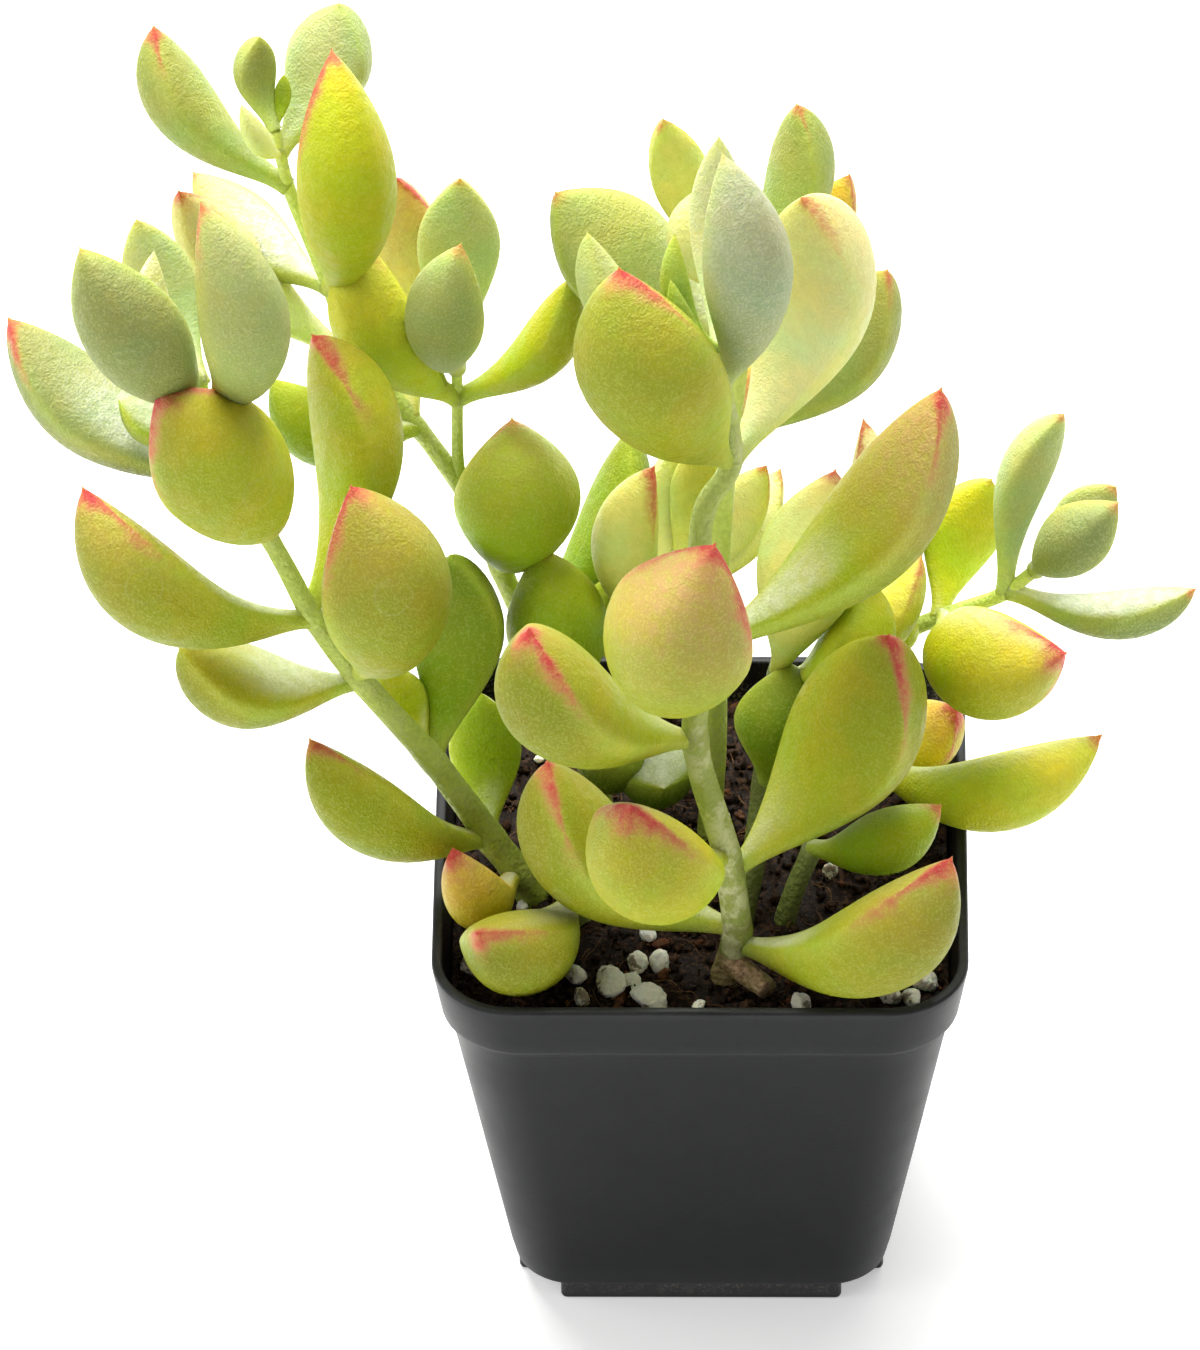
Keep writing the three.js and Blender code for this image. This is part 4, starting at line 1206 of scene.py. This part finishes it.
@dataclass
class Pot:
    """Square tapered pot with a deep rim band and a raised cross under its base."""

    corner_steps: int = 12
    body_steps: int = 14
    base_round: float = 0.75
    lip_round: float = 0.42
    inner_round: float = 0.3
    play: float = 0.02
    drain_sides: int = 28
    least_faces: int = 100

    def _half(self, z: float) -> float:
        """Gives the half width of the outer body wall at a height."""
        top = RIM_HEIGHT - BAND_HEIGHT
        return BASE_HALF + (BAND_HALF - BAND_STEP - BASE_HALF) * (z - FOOT_HEIGHT) / (top - FOOT_HEIGHT)

    def _profile(self) -> list[tuple[float, float, float, float, float]]:
        """Lists half width, corner radius, height, share of the paler lip and edges (scuffs and painted
        highlight) and inside share up the wall and back down.
        """
        cr = CORNER_RADIUS
        band = RIM_HEIGHT - BAND_HEIGHT
        low, top = FOOT_HEIGHT, RIM_HEIGHT
        rows: list[tuple[float, float, float, float, float]] = []
        for k in range(5):
            a = k / 4 * math.pi / 2
            rows.append((BASE_HALF - self.base_round + self.base_round * math.sin(a), BASE_CORNER_RADIUS,
                         low + self.base_round * (1 - math.cos(a)), 0.3, 0))
        z0 = low + self.base_round
        for k in range(1, self.body_steps + 1):
            z = z0 + (band - 0.9 - z0) * k / self.body_steps
            share = (z - low) / (band - low)
            radius = BASE_CORNER_RADIUS + (cr - 0.6 - BASE_CORNER_RADIUS) * min(1.0, share * 1.1)
            rows.append((self._half(z), radius, z, 0, 0))
        edge = self._half(band)
        rows += [(edge + 0.02, cr - 0.55, band - 0.35, 0, 0), (edge + 0.16, cr - 0.4, band - 0.08, 0.15, 0),
                 (edge + 0.45, cr - 0.2, band + 0.08, 0.35, 0), (BAND_HALF - 0.08, cr, band + 0.38, 0.5, 0),
                 (BAND_HALF, cr, band + 0.85, 0.25, 0)]
        for k in range(1, 5):
            z = band + 0.85 + (top - 1.5 - band - 0.85) * k / 4
            rows.append((BAND_HALF + (RIM_HALF - 0.15 - BAND_HALF) * k / 4, cr, z, 0.05, 0))
        for k in range(7):
            a = k / 6 * math.pi / 2
            inset = self.lip_round * (1 - math.cos(a))
            height = top - self.play - self.lip_round * (1 - math.sin(a))
            rows.append((RIM_HALF - self.play - inset, cr - inset, height, 0.6 + 0.4 * math.sin(a), 0))
        inner = RIM_HALF - WALL - 0.1
        for k in range(5):
            a = k / 4 * math.pi / 2
            spread = self.inner_round * (1 - math.sin(a))
            height = top - self.play - self.inner_round * (1 - math.cos(a))
            rows.append((inner + spread, cr - WALL + spread, height, 1 - 0.2 * k, 0.2 * k))
        rows += [(inner - 0.04, cr - WALL, top - 2.0, 0, 1),
                 (BAND_HALF - WALL + 0.1, cr - WALL, band + 2.5, 0, 1),
                 (BAND_HALF - WALL, cr - WALL, band + 1.5, 0, 1),
                 (BAND_HALF - BAND_STEP - WALL, cr - WALL - 0.5, band - 1.5, 0, 1),
                 (BASE_HALF - WALL, BASE_CORNER_RADIUS - WALL, low + FLOOR, 0, 1)]
        return rows

    def _foot(self) -> tuple[np.ndarray, list[tuple[int, ...]]]:
        """Gives the raised cross under the base with softened lower edges."""
        half = BASE_HALF - 0.4
        arm = half - FOOT_NOTCH
        corners = [(half, -arm), (half, arm), (arm, arm), (arm, half), (-arm, half), (-arm, arm),
                   (-half, arm), (-half, -arm), (-arm, -arm), (-arm, -half), (arm, -half), (arm, -arm)]
        outline = []
        count = len(corners)
        for i, (x, y) in enumerate(corners):
            before = np.array(corners[i - 1], float) - (x, y)
            after = np.array(corners[(i + 1) % count], float) - (x, y)
            b, c = unit(before), unit(after)
            for w in (0.0, 0.25, 0.5, 0.75, 1.0):
                outline.append(np.array([x, y]) + 0.8 * (b * (1 - w) ** 2 + c * w ** 2))
        flat = np.array(outline)
        rings = []
        for inset, z in ((0.45, 0.0), (0.14, 0.12), (0.0, 0.42), (0.0, FOOT_HEIGHT + 0.3)):
            before = np.roll(flat, 1, axis=0)
            after = np.roll(flat, -1, axis=0)
            along = unit(after - before)
            out = np.stack([along[:, 1], -along[:, 0]], axis=1)
            rings.append(np.column_stack([flat - out * inset, np.full(len(flat), z)]))
        places = np.concatenate(rings)
        n = len(flat)
        faces = ring_faces(len(rings), n)
        faces.append(tuple(range(n - 1, -1, -1)))
        faces.append(tuple(range(len(places) - n, len(places))))
        return places, faces

    def build(self, plastic: Material) -> None:
        """Builds the pot, opens its drain holes and ties it to the frame.

        Args:
            plastic: Material of the pot.
        """
        rows = self._profile()
        rings = np.array([square_ring(h, max(0.5, r), z, self.corner_steps) for h, r, z, _, _ in rows])
        count = rings.shape[1]
        marks = np.array([np.tile([row[3], row[4], 0.0, 1.0], (count, 1)) for row in rows])
        skin = Skin()
        skin.rings(rings, rings[0].mean(axis=0), rings[-1].mean(axis=0), pot_marks=marks)
        places, faces = self._foot()
        skin.add(places, faces, pot_marks=np.tile([0.15, 0.0, 0.0, 1.0], (len(places), 1)))
        piece = skin.make("pot_shell")
        outward(piece)
        self._drain(piece)
        own(piece, "pot", plastic)

    def _drain(self, piece: bpy.types.Object) -> None:
        """Cuts the four corner drain holes.

        Args:
            piece: The pot, changed in place.
        """
        at = (BASE_HALF - FOOT_NOTCH / 2 - 1.4) * MM
        cutter = Skin()
        sides = self.drain_sides
        angles = np.linspace(0, 2 * math.pi, sides, endpoint=False)
        circle = np.stack([np.cos(angles), np.sin(angles)], axis=1) * DRAIN_RADIUS
        for x in (-at, at):
            for y in (-at, at):
                ring = circle + np.array([x, y]) / MM
                ends = (FOOT_HEIGHT - 1, FOOT_HEIGHT + 2.2)
                levels = [np.column_stack([ring, np.full(sides, z)]) for z in ends]
                cutter.rings(np.array(levels), levels[0].mean(axis=0), levels[1].mean(axis=0))
        tool = cutter.make("drain_cutter")
        outward(tool)
        cut = piece.modifiers.new("drain", "BOOLEAN")
        cut.operation = "DIFFERENCE"
        cut.solver = "EXACT"
        cut.object = tool
        cut.use_self = True
        bpy.context.view_layer.update()
        made = bpy.data.meshes.new_from_object(piece.evaluated_get(bpy.context.evaluated_depsgraph_get()))
        piece.modifiers.clear()
        if len(made.polygons) > self.least_faces:
            piece.data = made
        bpy.data.objects.remove(tool)


def soil_height(x: np.ndarray, y: np.ndarray) -> np.ndarray:
    """Gives the height of the soil's top without its lumps, in millimetres."""
    swell = (0.5 * np.sin(x * 0.21 + 1.3) * np.cos(y * 0.17 - 0.4) + 0.3 * np.sin(x * 0.47 - y * 0.39)
             + 0.2 * np.cos(x * 0.83 + y * 0.71))
    return SOIL_LEVEL + SOIL_SWELL * swell


def round_ball(level: int) -> tuple[np.ndarray, list[tuple[int, ...]]]:
    """Gives a unit ball of near-equal triangles.

    Args:
        level: How many times each triangle is split in four.

    Returns:
        Its places and faces.
    """
    g = (1 + math.sqrt(5)) / 2
    places = [unit(np.array(p, float)) for p in (
        (-1, g, 0), (1, g, 0), (-1, -g, 0), (1, -g, 0), (0, -1, g), (0, 1, g), (0, -1, -g), (0, 1, -g),
        (g, 0, -1), (g, 0, 1), (-g, 0, -1), (-g, 0, 1))]
    faces = [(0, 11, 5), (0, 5, 1), (0, 1, 7), (0, 7, 10), (0, 10, 11), (1, 5, 9), (5, 11, 4), (11, 10, 2),
             (10, 7, 6), (7, 1, 8), (3, 9, 4), (3, 4, 2), (3, 2, 6), (3, 6, 8), (3, 8, 9), (4, 9, 5),
             (2, 4, 11), (6, 2, 10), (8, 6, 7), (9, 8, 1)]
    for _ in range(level):
        seen: dict[tuple[int, int], int] = {}
        finer = []
        for a, b, c in faces:
            mids = []
            for p, q in ((a, b), (b, c), (c, a)):
                key = (min(p, q), max(p, q))
                if key not in seen:
                    seen[key] = len(places)
                    places.append(unit(places[p] + places[q]))
                mids.append(seen[key])
            ab, bc, ca = mids
            finer += [(a, ab, ca), (b, bc, ab), (c, ca, bc), (ab, bc, ca)]
        faces = finer
    return np.array(places), faces


@dataclass
class Soil:
    """Potting mix: a rough bed with crumbs, bark chips and fibres, and puffed perlite on top."""

    rings: int = 52
    ring_steps: int = 11
    crumbs: int = 1500
    chips: int = 34
    fibres: int = 240
    loose_perlite: int = 22
    bed_tone: Point = (0.014, 0.008, 0.005)
    crumb_tones: tuple[Point, ...] = (
        (0.014, 0.007, 0.004), (0.050, 0.023, 0.010), (0.008, 0.005, 0.003), (0.150, 0.062, 0.024),
        (0.028, 0.014, 0.007),
    )
    crumb_shares: tuple[float, ...] = (0.4, 0.2, 0.2, 0.06, 0.14)
    chip_tone: Point = (0.16, 0.062, 0.028)
    fibre_tone: Point = (0.19, 0.10, 0.045)
    perlite: tuple[Point, ...] = (
        (-13.8, -20, 1.5), (-10, -20.7, 1.9), (-7.6, -20.2, 1.3), (-7, -17.4, 1.5), (-4.6, -16.6, 1.4),
        (-5.6, -23.1, 1.9), (-0.2, -24.1, 0.8), (-13.2, -23, 1.1), (11.2, -24.2, 1.5), (21.1, -22.6, 1.4),
        (23.6, -23, 1.4), (25, -20.5, 1.6), (25.2, 4.1, 1.4), (23.2, 24, 1.6), (25.8, 24.8, 1.2),
        (14.6, -1.8, 1.1), (-25.5, -17.8, 1.3),
    )

    @staticmethod
    def _inside(x: float, y: float, room: float) -> bool:
        """Tells whether a spot lies inside the pot's wall with some room."""
        half = RIM_HALF - WALL - SOIL_SETBACK - room
        radius = CORNER_RADIUS - WALL
        dx, dy = abs(x) - (half - radius), abs(y) - (half - radius)
        if dx <= 0 or dy <= 0:
            return max(dx, dy) <= radius
        return math.hypot(dx, dy) <= radius

    @staticmethod
    def _turn(random: np.random.Generator) -> np.ndarray:
        """Gives a random turn as a matrix."""
        w, x, y, z = unit(random.normal(size=4))
        return np.array([[1 - 2 * (y * y + z * z), 2 * (x * y - w * z), 2 * (x * z + w * y)],
                         [2 * (x * y + w * z), 1 - 2 * (x * x + z * z), 2 * (y * z - w * x)],
                         [2 * (x * z - w * y), 2 * (y * z + w * x), 1 - 2 * (x * x + y * y)]])

    def _bed(self, skin: Skin) -> None:
        """Adds the bed: rough top, and plain sides and bottom inside the pot."""
        gap = SOIL_GAP
        band = RIM_HEIGHT - BAND_HEIGHT
        cr = CORNER_RADIUS - WALL - gap
        edge = RIM_HALF - WALL - SOIL_SETBACK - gap
        low = FOOT_HEIGHT + FLOOR + gap
        rings = [square_ring(BASE_HALF - WALL - gap, BASE_CORNER_RADIUS - WALL - gap, low, self.ring_steps),
                 square_ring(BAND_HALF - BAND_STEP - WALL - gap, cr - 0.5, band - 1.5, self.ring_steps),
                 square_ring(BAND_HALF - WALL - gap, cr, band + 1.5, self.ring_steps)]
        for i in range(self.rings, 0, -1):
            share = i / self.rings
            half = edge * share
            ring = square_ring(half, min(max(0.4, cr * share), half * 0.9), 0.0, self.ring_steps)
            x, y = ring[:, 0], ring[:, 1]
            rough = (0.30 * np.sin(1.9 * x + 0.7) * np.sin(2.3 * y - 0.4) + 0.22 * np.sin(3.7 * x - 2.9 * y)
                     + 0.16 * np.cos(6.1 * x + 5.3 * y) + 0.12 * np.sin(9.7 * x - 8.3 * y + 1.0))
            fade = 0.4 if i > self.rings - 2 else 1.0
            ring[:, 2] = soil_height(x, y) - 0.25 + rough * fade
            rings.append(ring)
        stack = np.array(rings)
        tone = np.tile([*self.bed_tone, 1.0], (*stack.shape[:2], 1))
        skin.rings(stack, stack[0].mean(axis=0), stack[-1].mean(axis=0), soil_tone=tone)

    def _crumbs(self, skin: Skin, random: np.random.Generator) -> None:
        """Adds crumbs of peat and bark half sunk in the bed."""
        ball, faces = round_ball(1)
        tones = np.array(self.crumb_tones)
        made = 0
        while made < self.crumbs:
            x, y = random.uniform(-28, 28, 2)
            if not self._inside(x, y, 0.9):
                continue
            size = 0.22 + 0.68 * random.random() ** 2.4
            lumpy = 1 + 0.28 * random.normal(size=len(ball)).clip(-1.5, 1.5)
            shape = (ball * lumpy[:, None] * [1.0, 0.8, 0.62] * size) @ self._turn(random).T
            z = float(soil_height(x, y)) - 0.1 + 0.25 * size
            tone = tones[random.choice(5, p=self.crumb_shares)] * random.uniform(0.75, 1.25)
            skin.add(shape + [x, y, z], faces, soil_tone=np.tile([*tone, 1.0], (len(ball), 1)))
            made += 1

    def _chips(self, skin: Skin, random: np.random.Generator) -> None:
        """Adds flat splinters of bark, one beside the front perlite."""
        ball, faces = round_ball(2)
        spots = [(-8.9, -22.2, 1.6)]
        while len(spots) < self.chips:
            x, y = random.uniform(-26, 26, 2)
            if self._inside(x, y, 2.5):
                spots.append((float(x), float(y), float(random.uniform(0.7, 1.9))))
        for x, y, size in spots:
            boxy = np.sign(ball) * np.abs(ball) ** 0.55
            shape = boxy * [size, size * random.uniform(0.35, 0.6), size * 0.22]
            shape += 0.06 * random.normal(size=shape.shape)
            tilt = self._turn(random)
            flat = tilt if random.random() < 0.3 else np.array(
                Matrix.Rotation(random.uniform(0, 6.28), 3, "Z")
                @ Matrix.Rotation(random.uniform(-0.5, 0.5), 3, "X"))
            tone = np.array(self.chip_tone) * random.uniform(0.35, 1.0)
            places = shape @ flat.T + [x, y, float(soil_height(x, y)) + 0.3]
            skin.add(places, faces, soil_tone=np.tile([*tone, 1.0], (len(ball), 1)))

    def _fibres(self, skin: Skin, random: np.random.Generator) -> None:
        """Adds dry root and peat fibres that curl over the bed."""
        angles = np.linspace(0, 2 * math.pi, 5, endpoint=False)
        made = 0
        while made < self.fibres:
            x, y = random.uniform(-26, 26, 2)
            if not self._inside(x, y, 3.0):
                continue
            heading = random.uniform(0, 2 * math.pi)
            curl = random.uniform(-0.35, 0.35)
            places = []
            for k in range(9):
                places.append([x, y, float(soil_height(x, y)) + 0.35 + 0.25 * math.sin(k * 1.1 + made)])
                heading += curl
                x += 0.55 * math.cos(heading)
                y += 0.55 * math.sin(heading)
            if not self._inside(x, y, 0.8):
                continue
            spine = np.array(places)
            radius = random.uniform(0.035, 0.09)
            rings = []
            for k, p in enumerate(spine):
                along = unit(spine[min(k + 1, 8)] - spine[max(k - 1, 0)])
                across = unit(np.cross(along, [0, 0, 1.0]))
                rise = np.cross(across, along)
                round_about = np.cos(angles)[:, None] * across + np.sin(angles)[:, None] * rise
                rings.append(p + radius * round_about)
            tone = np.array(self.fibre_tone) * random.uniform(0.25, 1.2)
            stack = np.array(rings)
            shades = np.tile([*tone, 1.0], (*stack.shape[:2], 1))
            skin.rings(stack, spine[0], spine[-1], soil_tone=shades)
            made += 1

    def build(self, mix: Material, chalk: Material) -> None:
        """Builds the bed and the perlite and ties them to the frame.

        Args:
            mix: Material of the potting mix.
            chalk: Material of the perlite.
        """
        random = np.random.default_rng(SEED)
        bed = Skin()
        self._bed(bed)
        self._crumbs(bed, random)
        self._chips(bed, random)
        self._fibres(bed, random)
        piece = bed.make("soil_bed")
        outward(piece)
        own(piece, "soil", mix)
        ball, faces = round_ball(3)
        lumps = Skin()
        spots = list(self.perlite)
        while len(spots) < len(self.perlite) + self.loose_perlite:
            x, y = random.uniform(-26, 26, 2)
            if self._inside(x, y, 2.0) and y > -15:
                spots.append((float(x), float(y), float(random.uniform(0.5, 1.3))))
        for x, y, size in spots:
            a, b, c = random.uniform(0, 6.28, 3)
            wave = (1 + 0.10 * np.sin(3.1 * ball[:, 0] + a) * np.sin(2.7 * ball[:, 1] + b)
                    + 0.07 * np.sin(5.3 * ball[:, 2] + c)
                    + 0.035 * np.sin(11 * ball[:, 0] + 9 * ball[:, 1] + a)
                    + 0.02 * np.sin(19 * ball[:, 1] - 17 * ball[:, 2] + b))
            limits = ((1.05, 1.4), (0.8, 0.95), (0.7, 0.85))
            stretch = np.array([random.uniform(low, high) for low, high in limits])
            shape = (ball * wave[:, None] * stretch * size * 0.92) @ self._turn(random).T
            lumps.add(shape + [x, y, float(soil_height(x, y)) + size * 0.4], faces)
        perlite = lumps.make("perlite")
        outward(perlite)
        own(perlite, "soil", chalk)


@dataclass(frozen=True)
class Lamp:
    """A soft square lamp: its name, place and side in metres, power in watts and tint."""

    name: str
    place: Point
    size: float
    watts: float
    tint: Point = (1.0, 1.0, 1.0)

    def build(self, target: Vector) -> None:
        """Sets the lamp up, facing a target."""
        light = bpy.data.lights.new(self.name, "AREA")
        light.shape = "SQUARE"
        light.size = self.size
        light.energy = self.watts
        light.color = self.tint
        lamp = bpy.data.objects.new(self.name, light)
        bpy.context.scene.collection.objects.link(lamp)
        lamp.location = self.place
        aim = target - Vector(self.place)
        lamp.rotation_euler = aim.to_track_quat("-Z", "Y").to_euler()


@dataclass
class Studio:
    """Pale floor, soft lights and the camera."""

    azimuth: float = 1.0
    elevation: float = 41.7
    roll: float = -0.57
    distance: float = 1.5
    aim: Point = (-0.0112, -0.0002, 0.0770)
    lens: float = 358.7
    floor_half: float = 4000.0
    floor_drop: float = 0.02
    floor_cells: int = 8
    floor_glow: float = 0.38
    surround: float = 0.36
    lamps: tuple[Lamp, ...] = (
        Lamp("top_softbox", (-0.15, 0.45, 1.15), 0.9, 31.0, (1.0, 0.995, 0.98)),
        Lamp("side_softbox", (-0.80, -0.15, 0.55), 0.7, 3.0),
        Lamp("back_softbox", (0.45, 0.95, 0.55), 0.8, 4.0, (1.0, 1.0, 0.99)),
    )

    def _floor(self) -> None:
        """Adds the floor the pot stands on."""
        skin = Skin()
        cells = self.floor_cells
        row = cells + 1
        grid = np.linspace(-self.floor_half, self.floor_half, row)
        places = np.array([(x, y, -self.floor_drop) for y in grid for x in grid])
        starts = [j * row + i for j in range(cells) for i in range(cells)]
        faces = [(s, s + 1, s + row + 1, s + row) for s in starts]
        skin.add(places, faces)
        floor = skin.make("studio_floor")
        material, sheet, shader, position = begin("floor_white")
        cloud = sheet.noise(position, 3.0, detail=3.0, rough=0.55)
        tint = sheet.blend(cloud, (0.95, 0.95, 0.95, 1.0), (0.97, 0.97, 0.97, 1.0))
        sheet.feed(shader.inputs["Base Color"], tint)
        shader.inputs["Roughness"].default_value = 0.9
        shader.inputs["Specular IOR Level"].default_value = 0.1
        shader.inputs["Emission Color"].default_value = (1.0, 1.0, 1.0, 1.0)
        shader.inputs["Emission Strength"].default_value = self.floor_glow
        floor.data.materials.append(material)
        floor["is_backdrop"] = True

    def _camera(self) -> None:
        """Adds the camera at the photo's viewing angle."""
        turn = Matrix.Rotation(math.radians(self.azimuth), 3, "Z")
        rise = math.radians(self.elevation)
        ahead = turn @ Vector((0, math.cos(rise), -math.sin(rise)))
        right = turn @ Vector((1, 0, 0))
        up = right.cross(ahead)
        tilt = math.radians(self.roll)
        wide = right * math.cos(tilt) + up * math.sin(tilt)
        high = up * math.cos(tilt) - right * math.sin(tilt)
        data = bpy.data.cameras.new("camera")
        data.sensor_fit = "AUTO"
        data.sensor_width = 36.0
        data.lens = self.lens
        data.clip_start = 0.05
        data.clip_end = 30.0
        camera = bpy.data.objects.new("camera", data)
        bpy.context.scene.collection.objects.link(camera)
        spin = Matrix((wide, high, -ahead)).transposed().to_4x4()
        camera.matrix_world = Matrix.Translation(Vector(self.aim) - ahead * self.distance) @ spin
        bpy.context.scene.camera = camera

    def build(self) -> None:
        """Builds floor, lights, surroundings and camera."""
        self._floor()
        for lamp in self.lamps:
            lamp.build(Vector((0, 0, 0.08)))
        world = bpy.data.worlds.new("studio_world")
        world.use_nodes = True
        light = world.node_tree.nodes["Background"].inputs
        light["Color"].default_value = (1.0, 1.0, 1.0, 1.0)
        light["Strength"].default_value = self.surround
        self._camera()
        scene = bpy.context.scene
        scene.world = world
        scene.view_settings.view_transform = "Standard"
        scene.view_settings.look = "None"
        scene.view_settings.exposure = 0.0


def main() -> None:
    """Loads the frame and builds every piece in order."""
    logging.basicConfig(level=logging.INFO, format="%(message)s")
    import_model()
    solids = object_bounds()
    low, high = (np.array(corner, float) * TO_MM for corner in solids)
    room = (low + BOX_MARGIN, high - BOX_MARGIN)
    effects = Effects()
    Pot().build(PotFinish().build(effects))
    Soil().build(SoilFinish().build(effects), PerliteFinish().build(effects))
    leaf_skin = LeafFinish().build(effects)
    bark = StemFinish().build(effects)
    for node, shoots in SHOOTS.items():
        LeafyStem(node, shoots, room).build(leaf_skin, bark)
    Studio().build()


if __name__ == "__main__":
    main()
